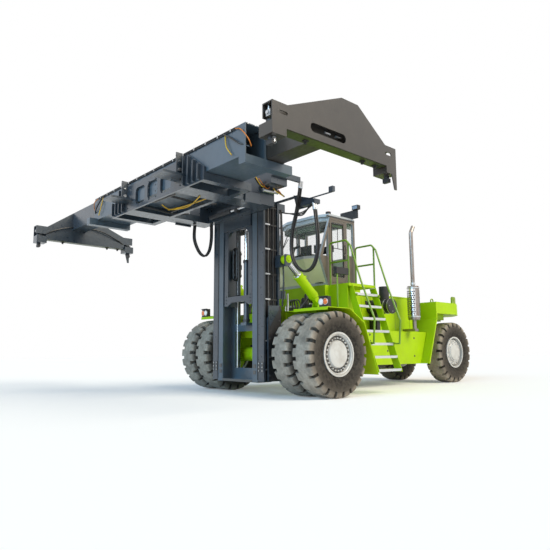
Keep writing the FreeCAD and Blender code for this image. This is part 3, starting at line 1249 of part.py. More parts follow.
def spreader_arm(side, sign):
    """A sliding beam and the end beam on it; the left one slides in the rear tube."""
    def along(offset):
        return "spreader_y + (%s) * %d" % (offset, sign)

    def span(low, high):
        return (along(low), along(high)) if sign > 0 else (along(high), along(low))

    inner_plate_x = "end_in + inner_plate_in"
    slide = block("slide_" + side, across(sign, "end_in - arm_length", inner_plate_x),
                  span("tube_offset - slide_half", "tube_offset + slide_half"),
                  ("slide_bottom", "slide_top"))
    slide_bore = block("slide_bore_" + side, across(sign, "end_in - arm_length - 1", "end_in"),
                       span("tube_offset - slide_half + arm_wall",
                            "tube_offset + slide_half - arm_wall"),
                       ("slide_bottom + arm_wall", "slide_top - arm_wall"))

    def gable(leg_foot):
        leg = "end_beam_half - end_leg_wide"
        view = [("-end_beam_half", leg_foot), ("-end_beam_half", "end_shoulder"),
                ("-end_beam_half + end_shoulder_wide", "end_shoulder"),
                ("tube_offset - slide_half", "slide_top"),
                ("tube_offset + slide_half", "slide_top"),
                ("end_beam_half - end_shoulder_wide", "end_shoulder"),
                ("end_beam_half", "end_shoulder"), ("end_beam_half", leg_foot),
                (leg, leg_foot), (leg, "end_recess"), ("-(%s)" % leg, "end_recess"),
                ("-(%s)" % leg, leg_foot)]
        return [(along(offset), height) for offset, height in view]

    outer_plate = plate("gable_" + side, "X", gable("end_leg_bottom"),
                        across(sign, "end_out - end_plate_wall", "end_out"))
    inner_plate = plate("inner_gable_" + side, "X",
                        gable("end_leg_bottom + knob_rise + 50"),
                        across(sign, inner_plate_x, inner_plate_x + " + end_plate_wall"))
    holes = [end_beam_slot("gable_slot", side, sign, "-slot_from", "slot_to",
                           "end_recess + slot_low", "slot_high")]
    for spot, centre in (("minus", "-corner_hole_y"), ("plus", "corner_hole_y")):
        holes.append(end_beam_slot("corner_hole_" + spot, side, sign,
                                   centre + " - corner_hole_wide / 2",
                                   centre + " + corner_hole_wide / 2",
                                   "end_recess + corner_hole_rise", "corner_hole_high"))
    parts = [cut("slide_open_" + side, slide, slide_bore),
             cut("gable_open_" + side, outer_plate, *holes), inner_plate]
    between = span("-end_beam_half + end_leg_wide", "end_beam_half - end_leg_wide")
    upper = across(sign, inner_plate_x, "end_out")
    parts.append(block("end_sole_" + side, upper, between,
                       ("end_recess", "end_recess + end_plate_wall")))
    parts.append(block("end_web_" + side, across(sign, "lock_x - 10", "lock_x + 10"), between,
                       ("end_recess", "end_shoulder - 80")))
    for spot, low, high in (("minus", "-end_beam_half", "-end_beam_half + end_leg_wide"),
                            ("plus", "end_beam_half - end_leg_wide", "end_beam_half")):
        housing = block("housing_%s_%s" % (side, spot), across(sign, "end_in", "end_out"),
                        span(low, high), ("end_leg_bottom", "end_leg_bottom + housing_high"))
        lock_y = along("-lock_half" if spot == "minus" else "lock_half")
        hole = rod("lock_hole_%s_%s" % (side, spot), "Z", (signed(sign, "lock_x"), lock_y),
                   "lock_radius + lock_gap",
                   ("end_leg_bottom - 1", "end_leg_bottom + housing_high + 1"))
        parts.append(cut("housing_open_%s_%s" % (side, spot), housing, hole))
        parts.append(block("housing_top_%s_%s" % (side, spot), upper, span(low, high),
                           ("end_shoulder - end_plate_wall", "end_shoulder")))
    guide = [("end_beam_half - guide_wide", "end_leg_bottom + 60"),
             ("end_beam_half", "end_leg_bottom + 60"),
             ("end_beam_half", "guide_bottom"), ("end_beam_half - 45", "guide_bottom")]
    parts.append(plate("guide_" + side, "X",
                       [("spreader_y + " + offset, height) for offset, height in guide],
                       across(sign, "end_out - guide_wall", "end_out")))
    node("spreader_arm_" + side, fuse("spreader_arm_body_" + side, *parts))


def twistlock(side, sign, spot, way):
    centre = (signed(sign, "lock_x"), "spreader_y + (%d) * lock_half" % way)
    shank = rod("lock_shank_%s_%s" % (side, spot), "Z", centre, "lock_radius",
                ("end_leg_bottom - lock_drop", "end_leg_bottom + knob_rise + 30"))
    low = "end_leg_bottom - lock_drop - lock_head_high"
    head = block("lock_head_%s_%s" % (side, spot),
                 ("%s - lock_head_long / 2" % centre[0], "%s + lock_head_long / 2" % centre[0]),
                 ("%s - lock_head_wide / 2" % centre[1], "%s + lock_head_wide / 2" % centre[1]),
                 (low, "end_leg_bottom - lock_drop"))
    knob = rod("lock_knob_%s_%s" % (side, spot), "Z", centre, "lock_radius + 20",
               ("end_leg_bottom + knob_rise", "end_leg_bottom + knob_rise + 30"))
    node("twistlock_%s_%s" % (spot, side),
         fuse("twistlock_body_%s_%s" % (spot, side), shank, head, knob))


spreader_body()
for side, sign in (("left", 1), ("right", -1)):
    spreader_arm(side, sign)
    for spot, way in (("front", -1), ("rear", 1)):
        twistlock(side, sign, spot, way)


# ---------------------------------------------------------------- lamps, mirrors

def head_lamp(side, sign):
    floor = "fender_z + fender_wall"
    return block("lamp_case_" + side, across(sign, "lamp_x - lamp_wide + 60", "lamp_x + 60"),
                 ("-lamp_y", "-lamp_y + lamp_deep"), (floor, floor + " + lamp_high"))


def roof_lamp(side, sign):
    """A short arm on the roof with a box of work lamps at its end."""
    spot = "roof_lamp_y"
    arm = block("roof_arm_" + side, across(sign, "roof_arm_foot", "roof_arm_end"),
                (spot + " - 15", spot + " + 15"), ("roof_z", "roof_z + roof_arm_rise"))
    box = block("roof_lamp_box_" + side, across(sign, "roof_arm_end - 130", "roof_arm_end + 40"),
                (spot + " - 50", spot + " + 50"),
                ("roof_z + roof_arm_rise", "roof_z + roof_arm_rise + lamp_box"))
    return fuse("roof_lamp_" + side, arm, box)


def mirror(side, sign):
    floor = "fender_z + fender_wall"
    post = rod("mirror_post_" + side, "Z", (signed(sign, "mirror_x"), "mirror_y"),
               "mirror_post", (floor, floor + " + mirror_rise"))
    case = block("mirror_case_" + side, across(sign, "mirror_x - mirror_deep / 2",
                                               "mirror_x + mirror_deep / 2"),
                 ("mirror_y - 50", "mirror_y - 50 + mirror_long"),
                 (floor + " + mirror_rise", floor + " + mirror_rise + mirror_high"))
    return fuse("mirror_" + side, post, case)


node("work_lamps", *both(head_lamp), *both(roof_lamp),
     rod("beacon", "Z", ("beacon_x", "beacon_y"), "beacon_radius", ("roof_z", "roof_z + 90")))
node("mirrors", *both(mirror))


# ---------------------------------------------------------------- checks, files

doc.recompute()
faults = []
for thing in doc.Objects:
    if "Invalid" in thing.State or "Error" in thing.State:
        faults.append("%s (%s): %s" % (thing.Name, thing.Label, thing.State))
for piece in finished:
    if piece.Shape.isNull() or not piece.Shape.isValid() or not piece.Shape.Solids:
        faults.append("%s has no valid solid" % piece.Label)
if faults:
    raise RuntimeError("\n".join(faults))
os.makedirs("parts", exist_ok=True)
for piece in finished:
    piece.Shape.exportStep("parts/%s.step" % piece.Label)
print("%d nodes written" % len(finished))
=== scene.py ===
import json
import math

import bmesh
import bpy
from bpy.props import FloatProperty, FloatVectorProperty, IntProperty, PointerProperty
from mathutils import Matrix, Vector


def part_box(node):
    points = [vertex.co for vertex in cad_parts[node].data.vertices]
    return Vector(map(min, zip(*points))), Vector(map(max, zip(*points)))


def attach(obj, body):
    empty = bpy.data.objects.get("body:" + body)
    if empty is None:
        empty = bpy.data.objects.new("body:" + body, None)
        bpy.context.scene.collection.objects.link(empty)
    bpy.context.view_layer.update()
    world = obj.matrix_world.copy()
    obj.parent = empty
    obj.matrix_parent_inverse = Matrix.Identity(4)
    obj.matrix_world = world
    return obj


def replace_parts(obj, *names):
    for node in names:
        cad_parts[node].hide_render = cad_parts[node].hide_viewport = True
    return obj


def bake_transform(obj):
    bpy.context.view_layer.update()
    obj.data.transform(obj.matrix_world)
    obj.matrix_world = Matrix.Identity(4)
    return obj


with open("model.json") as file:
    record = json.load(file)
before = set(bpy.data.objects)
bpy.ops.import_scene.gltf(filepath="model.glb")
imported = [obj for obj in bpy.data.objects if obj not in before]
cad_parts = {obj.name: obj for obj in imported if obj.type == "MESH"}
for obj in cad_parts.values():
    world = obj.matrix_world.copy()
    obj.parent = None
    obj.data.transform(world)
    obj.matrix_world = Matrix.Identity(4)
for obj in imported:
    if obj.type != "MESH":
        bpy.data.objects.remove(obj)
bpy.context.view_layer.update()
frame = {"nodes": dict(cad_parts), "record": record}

bl_info = {
    "name": "Container handler looks",
    "version": (1, 0, 0),
    "blender": (4, 5, 0),
    "location": "View3D > Sidebar > Handler",
    "description": "Finishes and details for a masted container handler",
    "category": "Object",
}

SIDES = (("left", 1), ("right", -1))
BOTH = (1, -1)

# Every place below is given over the drive axle: x to the machine's left, y to the
# rear of the drive axle, z up from the ground.
AXLE_Y = sum(corner.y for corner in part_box("drive_rims_left")) / 2


def at(place, sign=1):
    """A place over the drive axle, in the frame; a sign of -1 is the machine's right side."""
    x, y, z = place
    return Vector((sign * x, y + AXLE_Y, z))


class Edges:
    """The ends and the middle of a node's box, over the drive axle."""

    def __init__(self, node):
        low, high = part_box(node)
        self.x0, self.y0, self.z0 = low.x, low.y - AXLE_Y, low.z
        self.x1, self.y1, self.z1 = high.x, high.y - AXLE_Y, high.z
        self.x, self.y = (self.x0 + self.x1) / 2, (self.y0 + self.y1) / 2


STEER_Y = Edges("steer_rim_left").y
TYRE_RADIUS = Edges("drive_tyres_left").z1 / 2


# ---------------------------------------------------------------- settings

def colour(label, default):
    return FloatVectorProperty(name=label, description=label + " colour", subtype="COLOR",
                               size=3, min=0, max=1, default=default)


class HANDLER_PG_paint(bpy.types.PropertyGroup):
    """Colours of the finishes."""
    body: colour("Body paint", (0.41, 0.64, 0.0))
    mast: colour("Mast paint", (0.030, 0.045, 0.062))
    # A lighter, bluer slate than the mast's, which paints the sky's reflection on the spreader
    # tube and the inner mast.
    tube: colour("Spreader paint", (0.070, 0.103, 0.133))
    # A warm slate for the left end beam alone: painted sunlight.
    arm: colour("End beam paint", (0.036, 0.030, 0.024))
    cab: colour("Cab paint", (0.46, 0.49, 0.51))
    panel: colour("Cab panels", (0.86, 0.85, 0.54))
    brown: colour("Cab lower panels", (0.13, 0.105, 0.08))
    rim: colour("Wheel rims", (0.60, 0.60, 0.58))
    rubber: colour("Tyre rubber", (0.016, 0.014, 0.012))
    dust: colour("Dust on the tyres", (0.40, 0.345, 0.28))


class HANDLER_PG_sizes(bpy.types.PropertyGroup):
    """Sizes of the details."""
    lug_count: IntProperty(name="Tyre lugs", description="Lugs on each side of a tyre",
                           default=22, min=12, max=60)
    lug_depth: FloatProperty(name="Lug depth", description="How deep the tread is cut",
                             default=0.062, min=0.005, max=0.08, unit="LENGTH")
    bolt: FloatProperty(name="Bolt size", description="Radius of a common bolt head",
                        default=0.014, min=0.004, max=0.05, unit="LENGTH")


def paint():
    return bpy.context.scene.handler_paint


def sizes():
    return bpy.context.scene.handler_sizes


# ---------------------------------------------------------------- materials

class Graph:
    """Adds nodes to a shader tree."""

    def __init__(self, tree):
        self.tree = tree

    def feed(self, node, inputs):
        """Links each input that is given a socket, and writes the others."""
        for key, value in inputs.items():
            if isinstance(value, bpy.types.NodeSocket):
                self.tree.links.new(value, node.inputs[key])
            else:
                node.inputs[key].default_value = value
        return node

    def add(self, kind, inputs=None, **settings):
        node = self.tree.nodes.new("ShaderNode" + kind)
        for name, value in settings.items():
            setattr(node, name, value)
        return self.feed(node, inputs or {})

    def maths(self, operation, first, second):
        return self.add("Math", {0: first, 1: second}, operation=operation).outputs[0]


class Look(Graph):
    """A material round one shader."""

    def __init__(self, name):
        self.material = bpy.data.materials.new(name)
        self.material.use_nodes = True
        super().__init__(self.material.node_tree)
        self.tree.nodes.clear()
        self.shader = self.add("BsdfPrincipled")
        self.add("OutputMaterial", {0: self.shader.outputs[0]})

    def speckle(self, scale, low, high, detail=6.0, stretch=None):
        """Noise in the object's own space, spread between two levels."""
        source = self.add("TexCoord").outputs["Object"]
        if stretch:
            source = self.add("Mapping", {"Vector": source, "Scale": stretch}).outputs[0]
        noise = self.add("TexNoise", {"Vector": source, "Scale": scale, "Detail": detail,
                                      "Roughness": 0.6})
        return self.add("MapRange", {"Value": noise.outputs["Fac"], "From Min": low,
                                     "From Max": high}).outputs[0]

    def near_ground(self, low, high):
        """1 at the ground, fading to 0 with height."""
        split = self.add("SeparateXYZ", {0: self.add("TexCoord").outputs["Object"]})
        return self.add("MapRange", {"Value": split.outputs["Z"], "From Min": low,
                                     "From Max": high, "To Min": 1.0, "To Max": 0.0}).outputs[0]

    def blend(self, factor, first, second, amount=1.0):
        """From the first colour to the second, as far as the factor times the amount."""
        if amount < 1.0:
            factor = self.maths("MULTIPLY", factor, amount)
        first, second = (value if isinstance(value, bpy.types.NodeSocket) else (*value[:3], 1.0)
                         for value in (first, second))
        mix = self.add("Mix", {"Factor": factor, "A": first, "B": second}, data_type="RGBA")
        return mix.outputs["Result"]

    def surface(self, base, shine, rough, **inputs):
        """Sets the colour, a roughness spread over a range, and any other input."""
        spread = self.add("MapRange", {"Value": shine, "To Min": rough[0], "To Max": rough[1]})
        self.feed(self.shader, {"Base Color": base, "Roughness": spread.outputs[0]})
        self.feed(self.shader, {name.replace("_", " "): value for name, value in inputs.items()})

    def bump(self, height, strength, distance):
        relief = self.add("Bump", {"Height": height, "Strength": strength, "Distance": distance})
        self.feed(self.shader, {"Normal": relief.outputs[0]})
        return self


def times(base, share):
    return [c * share for c in base]


def painted(name, base, shade=0.82, rough=(0.32, 0.5), coat=0.25, dirt=(0.16, 0.13, 0.10),
            dirt_amount=0.35, gloss=0.5):
    """Sprayed paint with uneven tone, fine orange peel, and dust that gathers low down."""
    look = Look(name)
    tone = look.blend(look.speckle(1.7, 0.35, 0.68), base, times(base, shade))
    film = look.speckle(3.0, 0.50, 0.85, stretch=(1.0, 1.0, 0.5))
    tone = look.blend(film, tone, dirt, dirt_amount * 0.3)
    low_dust = look.maths("MULTIPLY", look.near_ground(0.2, 2.2), look.speckle(5.0, 0.42, 0.66))
    look.surface(look.blend(low_dust, tone, dirt, dirt_amount), look.speckle(14.0, 0.3, 0.7),
                 rough, Specular_IOR_Level=gloss, Coat_Weight=coat, Coat_Roughness=0.2)
    return look.bump(look.speckle(60.0, 0.3, 0.7, detail=1.0), 0.025, 0.001)


def two_tone(name, front, side):
    """Cab panels: one colour on faces that look ahead, another on the sides."""
    look = painted(name, front, shade=0.9, dirt_amount=0.25)
    before = look.shader.inputs["Base Color"].links[0].from_socket
    split = look.add("SeparateXYZ", {0: look.add("NewGeometry").outputs["True Normal"]})
    across = split.outputs["X"]
    sideways = look.maths("GREATER_THAN", look.maths("MULTIPLY", across, across), 0.6)
    look.feed(look.shader, {"Base Color": look.blend(sideways, before, side)})
    return look


def metal(name, base, rough=(0.15, 0.35), stain=(0.20, 0.12, 0.07), stain_amount=0.2,
          stretch=None):
    look = Look(name)
    look.surface(look.blend(look.speckle(6.0, 0.52, 0.75), base, stain, stain_amount),
                 look.speckle(22.0, 0.3, 0.7, stretch=stretch), rough, Metallic=1.0)
    return look.bump(look.speckle(60.0, 0.3, 0.7, stretch=stretch), 0.05, 0.001)


def moulded(name, base, rough=(0.5, 0.7), grain=160.0, relief=0.15, fleck=(0.12, 0.10, 0.08),
            fleck_amount=0.2):
    """Moulded plastic, rubber or woven cloth: a fine grain and a little dust."""
    look = Look(name)
    look.surface(look.blend(look.speckle(7.0, 0.5, 0.75), base, fleck, fleck_amount),
                 look.speckle(11.0, 0.3, 0.7), rough)
    return look.bump(look.speckle(grain, 0.25, 0.75, detail=3.0), relief, 0.002)


def tyre_rubber():
    """Worn rubber: pale dust on the tread, darker on the walls, and painted shade in the grooves.
    """
    look = Look("tyre_rubber")
    dust = paint().dust
    patch, film = look.speckle(4.5, 0.25, 0.62), look.speckle(16.0, 0.38, 0.72)
    wall = look.blend(film, paint().rubber, dust, 0.12)
    tread = look.blend(patch, times(dust, 0.5), dust)
    tread = look.blend(film, tread, times(dust, 0.3), 0.5)
    # Dust on the tread, and less in the deep grooves, which paints their shade.
    dust_and_shade = look.add("Attribute", attribute_name="dust_and_groove_shade").outputs["Fac"]
    look.surface(look.blend(dust_and_shade, wall, tread), patch, (0.72, 0.92), Specular_IOR_Level=0.25)
    return look.bump(look.speckle(34.0, 0.25, 0.75, detail=8.0), 0.45, 0.006)


def clear_glass(name, tint, see_through):
    look = Look(name)
    film = look.speckle(3.0, 0.45, 0.8)
    look.surface(look.blend(film, tint, times(tint, 0.9)), film, (0.02, 0.08),
                 Alpha=1.0 - see_through, Specular_IOR_Level=0.5)
    return look


def lens(name, base, glow):
    look = Look(name)
    flute = look.speckle(40.0, 0.3, 0.7, stretch=(1.0, 1.0, 0.05))
    look.surface(look.blend(flute, base, times(base, 0.8)), flute, (0.05, 0.16),
                 Coat_Weight=0.8, Emission_Color=(*base, 1.0), Emission_Strength=glow)
    return look


FINISH = {}


def make_finishes():
    colours = paint()
    slate = {"dirt": (0.13, 0.11, 0.09), "dirt_amount": 0.3}
    looks = {
        "body_green": painted("lime_paint", colours.body, shade=0.88, rough=(0.42, 0.58),
                              coat=0.02, dirt_amount=0.1, gloss=0.25),
        # A darker copy of the lime paint, for lime parts that stand in shade: painted shade.
        "body_shade": painted("lime_paint_shaded", times(colours.body, 0.55)),
        # A near-black copy of the lime paint, for the sheet under the end beams' soles: painted
        # shade.
        "rail_green": painted("rail_green", (0.17, 0.31, 0.004)),
        "sole_green": painted("sole_green", times(colours.body, 0.07)),
        "mast_paint": painted("slate_paint", colours.mast, shade=0.75, rough=(0.24, 0.42),
                              coat=0.6, **slate),
        # The mast's slate made lighter and bluer: a painted reflection of the sky.
        "sky_sheen_slate": painted("slate_paint_sky_sheen", colours.tube, shade=0.8, rough=(0.28, 0.44),
                              coat=0.45, **slate),
        "end_paint": painted("slate_paint_dusty", (0.085, 0.078, 0.072), shade=0.86,
                             rough=(0.4, 0.55), dirt=(0.17, 0.14, 0.11), dirt_amount=0.3),
        # A warm copy of the slate paint, for the left end beam where the sun falls: painted
        # sunlight.
        "sunlit_arm_paint": painted("sunlit_slate_paint", colours.arm, shade=0.8, rough=(0.3, 0.46),
                             coat=0.4, dirt_amount=0.3),
        "cab_paint": two_tone("cab_grey", colours.cab, colours.brown),
        "cab_panel": two_tone("cab_panel_paint", colours.panel, colours.brown),
        "roof_paint": painted("roof_grey", colours.cab, shade=0.93, dirt_amount=0.2),
        "cab_brown": painted("cab_lower_paint", colours.brown, dirt_amount=0.2),
        "rim": painted("rim_white", colours.rim, shade=0.9, rough=(0.35, 0.5),
                       dirt=(0.30, 0.26, 0.21), dirt_amount=0.5),
        "dark_steel": painted("dark_steel", (0.022, 0.023, 0.026), rough=(0.4, 0.6), coat=0.0),
        "cast_iron": painted("cast_iron", (0.06, 0.06, 0.06), rough=(0.6, 0.8), coat=0.0),
        "chrome": metal("bright_chrome", (0.72, 0.72, 0.73), rough=(0.08, 0.2)),
        "steel": metal("bare_steel", (0.56, 0.57, 0.58), rough=(0.28, 0.45)),
        "rusty": metal("stack_steel", (0.30, 0.27, 0.25), rough=(0.25, 0.45),
                       stain=(0.20, 0.09, 0.04), stain_amount=0.8, stretch=(1, 1, 0.3)),
        "grating": metal("zinc_grating", (0.66, 0.67, 0.68), rough=(0.35, 0.55)),
        "black_plastic": moulded("black_plastic", (0.014, 0.014, 0.015)),
        "seal": moulded("rubber_seal", (0.012, 0.012, 0.012), rough=(0.6, 0.8)),
        "hose": moulded("hose_rubber", (0.008, 0.008, 0.009), rough=(0.26, 0.42), grain=70.0,
                        relief=0.25, fleck=(0.05, 0.045, 0.035)),
        "seat_fabric": moulded("seat_cloth", (0.018, 0.018, 0.02), rough=(0.8, 0.95),
                               grain=420.0, relief=0.5),
        "yellow_cable": moulded("yellow_cable", (0.70, 0.42, 0.02), fleck_amount=0.35),
        "orange_cable": moulded("orange_cable", (0.55, 0.16, 0.01), fleck_amount=0.35),
        "glass": clear_glass("window_glass", (0.30, 0.36, 0.34), 0.93),
        "green_glass": clear_glass("sun_strip", (0.06, 0.11, 0.05), 0.30),
        "white_lens": lens("lamp_lens", (0.85, 0.86, 0.84), 0.15),
        "orange_lens": lens("orange_lens", (0.85, 0.16, 0.01), 0.1),
        "red_lens": lens("red_lens", (0.55, 0.01, 0.01), 0.05),
        "blue_lens": lens("lamp_glass", (0.25, 0.33, 0.42), 0.0),
        "tyre": tyre_rubber(),
    }
    FINISH.update((slot, look.material) for slot, look in looks.items())


# ---------------------------------------------------------------- mesh making

def placed(name, data):
    """A new object in the scene."""
    thing = bpy.data.objects.new(name, data)
    bpy.context.scene.collection.objects.link(thing)
    return thing


def perpendicular(axis):
    axis = Vector(axis).normalized()
    helper = Vector((0, 0, 1)) if abs(axis.z) < 0.9 else Vector((1, 0, 0))
    side = axis.cross(helper).normalized()
    return axis, side, axis.cross(side)


def turns(count, more=0):
    """Angles spread round a circle; one more comes back to the start."""
    return [2 * math.pi * k / count for k in range(count + more)]


def circle(centre, side, up, radius, sides):
    return [centre + (side * math.cos(a) + up * math.sin(a)) * radius for a in turns(sides)]


def upright(centre, reach, angles):
    """Points round a centre, in the plane that runs along the machine."""
    x, y, z = centre
    return [(x, y + reach * math.cos(a), z + reach * math.sin(a)) for a in angles]


class Shape:
    """Collects the faces of one piece. It is drawn once for each sign it is given: 1 for the
    machine's left, where the places are, and -1 for their mirror places on the right."""

    def __init__(self, *signs):
        self.mesh = bmesh.new()
        self.signs = signs or (1,)

    def solid(self, rings, closed=True):
        """Joins rings of points, each with as many points, into one skin."""
        loops = [[self.mesh.verts.new(point) for point in ring] for ring in rings]
        for first, second in zip(loops, loops[1:]):
            for index in range(len(first)):
                after = (index + 1) % len(first)
                self.mesh.faces.new((first[index], first[after], second[after], second[index]))
        if closed:
            self.mesh.faces.new(loops[0][::-1])
            self.mesh.faces.new(loops[-1])

    def box(self, low, high):
        for sign in self.signs:
            (x0, x1), (y0, y1), (z0, z1) = map(sorted, zip(at(low, sign), at(high, sign)))
            self.solid([[(x0, y0, z), (x1, y0, z), (x1, y1, z), (x0, y1, z)] for z in (z0, z1)])
        return self

    def boxes(self, *pairs):
        for low, high in pairs:
            self.box(low, high)
        return self

    def rod(self, start, end, radius, sides=16, end_radius=None):
        for sign in self.signs:
            first, last = at(start, sign), at(end, sign)
            _, side, up = perpendicular(last - first)
            self.solid([circle(first, side, up, radius, sides),
                        circle(last, side, up, end_radius or radius, sides)])
        return self

    def rods(self, *rows, sides=16):
        for start, end, radius in rows:
            self.rod(start, end, radius, sides)
        return self

    def lathe(self, centre, axis, profile, sides=48):
        """Turns (distance along the axis, radius) points round a centre."""
        for sign in self.signs:
            middle = at(centre, sign)
            along, side, up = perpendicular((sign * axis[0], axis[1], axis[2]))
            self.solid([circle(middle + along * far, side, up, radius, sides)
                        for far, radius in profile], closed=False)
        return self

    def sheet(self, outline, axis, low, high):
        """A flat outline given in the two other axes, made thick along one axis."""
        spot = "XYZ".index(axis)
        for sign in self.signs:
            self.solid([[at((*point[:spot], depth, *point[spot:]), sign) for point in outline]
                        for depth in (low, high)])
        return self

    def tube(self, points, radius, sides=8):
        """A round tube through points."""
        for sign in self.signs:
            path = [at(point, sign) for point in points]
            rings, last = [], None
            for before, point, after in zip(path[:1] + path, path, path[1:] + path[-1:]):
                axis, side, up = perpendicular(after - before)
                if last:
                    side = (last - axis * last.dot(axis)).normalized()
                    up = axis.cross(side)
                last = side
                rings.append(circle(point, side, up, radius, sides))
            self.solid(rings)
        return self

    def bolts(self, places, axis, radius=None, tall=None):
        """Hexagon heads that stand on a face, along an axis."""
        radius = radius or sizes().bolt
        tall = tall or radius * 0.7
        for place in places:
            self.rod(place, [c + a * tall for c, a in zip(place, axis)], radius, sides=6)
        return self

    def made(self, name, finish, smooth=False):
        """Makes the object and gives it its finish."""
        data = bpy.data.meshes.new(name)
        bmesh.ops.recalc_face_normals(self.mesh, faces=self.mesh.faces)
        self.mesh.to_mesh(data)
        self.mesh.free()
        data.materials.append(FINISH[finish])
        if smooth:
            data.shade_smooth()
            data.set_sharp_from_angle(angle=math.radians(38))
        return placed(name, data)

    def piece(self, name, finish, body, smooth=False):
        """Makes the object and puts it on its body."""
        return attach(self.made(name, finish, smooth), body)


def rounded(points, steps=6):
    """A smooth line through a few points, for pipes and cables."""
    ends = [Vector(point) for point in (points[0], *points, points[-1])]
    line = []
    for p0, p1, p2, p3 in zip(ends, ends[1:], ends[2:], ends[3:]):
        for t in (step / steps for step in range(steps)):
            line.append(0.5 * (2 * p1 + (p2 - p0) * t + (2 * p0 - 5 * p1 + 4 * p2 - p3) * t * t
                               + (3 * p1 - p0 - 3 * p2 + p3) * t ** 3))
    return line + [ends[-1]]


def cables(name, routes, radius, finish, body, sides=8, signs=(1,)):
    shape = Shape(*signs)
    for route in routes:
        shape.tube(rounded(route), radius, sides)
    return shape.piece(name, finish, body, smooth=True)


# ---------------------------------------------------------------- stage and finishes

class HANDLER_OT_stage(bpy.types.Operator):
    """Place the camera, the lights and a pale floor."""
    bl_idname = "handler.stage"
    bl_label = "Stage"

    CAMERA_AT = (8.663, -7.442, 0.882)
    CAMERA_TURNS = ((48.325, "Z"), (98.053, "X"), (-0.336, "Z"))
    LENS = 34.764
    SKY = {"Color": (0.80, 0.89, 1.0, 1.0), "Strength": 0.34}
    # Name, where the light comes from, its strength, its width in radians and its colour.
    SUNS = (("key", (9.0, 2.5, 8.0), 3.0, 0.7, (1.0, 0.90, 0.74)),
            ("front", (1.0, -10.0, 4.0), 2.1, 0.8, (0.42, 0.73, 1.0)))
    FLOOR_REACH = 60.0
    FLOOR_DOWN = 0.002       # keeps the floor clear of the tyres' feet
    FLOOR_GLOW = 0.14

    def execute(self, context):
        context.scene.view_settings.view_transform = "Standard"
        self.camera(context.scene)
        self.lights(context.scene)
        self.floor()
        return {"FINISHED"}

    def camera(self, scene):
        view = bpy.data.cameras.new("view")
        view.sensor_width = 36.0
        view.lens = self.LENS
        view.clip_end = 200.0
        camera = placed("view", view)
        camera.matrix_world = Matrix.Translation(at(self.CAMERA_AT))
        for degrees, axis in self.CAMERA_TURNS:
            camera.matrix_world @= Matrix.Rotation(math.radians(degrees), 4, axis)
        scene.camera = camera

    def lights(self, scene):
        """A soft sky that looks white where the camera sees it, and two suns."""
        world = bpy.data.worlds.new("studio")
        world.use_nodes = True
        nodes, graph = world.node_tree.nodes, Graph(world.node_tree)
        sky = graph.feed(nodes["Background"], self.SKY)
        white = graph.add("Background", {"Color": (1.0, 1.0, 1.0, 1.0), "Strength": 1.0})
        rays = graph.add("LightPath").outputs
        seen = graph.maths("MAXIMUM", rays["Is Camera Ray"], rays["Is Transmission Ray"])
        seen = graph.maths("MAXIMUM", seen, rays["Is Glossy Ray"])
        mix = graph.add("MixShader", {0: seen, 1: sky.outputs[0], 2: white.outputs[0]})
        graph.feed(nodes["World Output"], {0: mix.outputs[0]})
        scene.world = world
        for name, spot, strength, width, tint in self.SUNS:
            sun = bpy.data.lights.new(name, "SUN")
            sun.energy, sun.angle, sun.color = strength, width, tint
            lamp = placed(name, sun)
            lamp.rotation_euler = Vector(spot).to_track_quat("Z", "Y").to_euler()
            lamp.location = at(spot)

    def floor(self):
        data = bpy.data.meshes.new("floor")
        corners = [(x * self.FLOOR_REACH, y * self.FLOOR_REACH, 0)
                   for x, y in ((-1, -1), (1, -1), (1, 1), (-1, 1))]
        data.from_pydata(corners, [], [(0, 1, 2, 3)])
        ground = placed("floor", data)
        ground.location.z = -self.FLOOR_DOWN
        look = Look("pale_floor")
        glow = look.maths("MULTIPLY", look.add("LightPath").outputs["Is Camera Ray"],
                          self.FLOOR_GLOW)
        look.feed(look.shader, {
            "Base Color": (0.84, 0.84, 0.84, 1.0), "Roughness": 0.9, "Specular IOR Level": 0.1,
            "Emission Color": (1.0, 1.0, 1.0, 1.0), "Emission Strength": glow})
        data.materials.append(look.material)


class HANDLER_OT_finishes(bpy.types.Operator):
    """Give every CAD piece its finish."""
    bl_idname = "handler.finishes"
    bl_label = "Finishes"

    # Nodes whose finish isn't that of their slot.
    # The spreader body and the inner mast take a slate with a painted sky reflection, the left end
    # beam a slate with painted sunlight.
    SPECIAL = {"exhaust_stack": "rusty", "handrails": "rail_green", "cab_roof": "roof_paint",
               "cab_door": "cab_brown", "spreader_arm_left": "sunlit_arm_paint",
               "spreader_body": "sky_sheen_slate", "mast_inner": "sky_sheen_slate"}

    def execute(self, context):
        make_finishes()
        for part in frame["record"]["subparts"]:
            materials = frame["nodes"][part["node"]].data.materials
            materials.clear()
            materials.append(FINISH[self.SPECIAL.get(part["node"], part["material_slot"])])
        return {"FINISHED"}


# ---------------------------------------------------------------- wheels

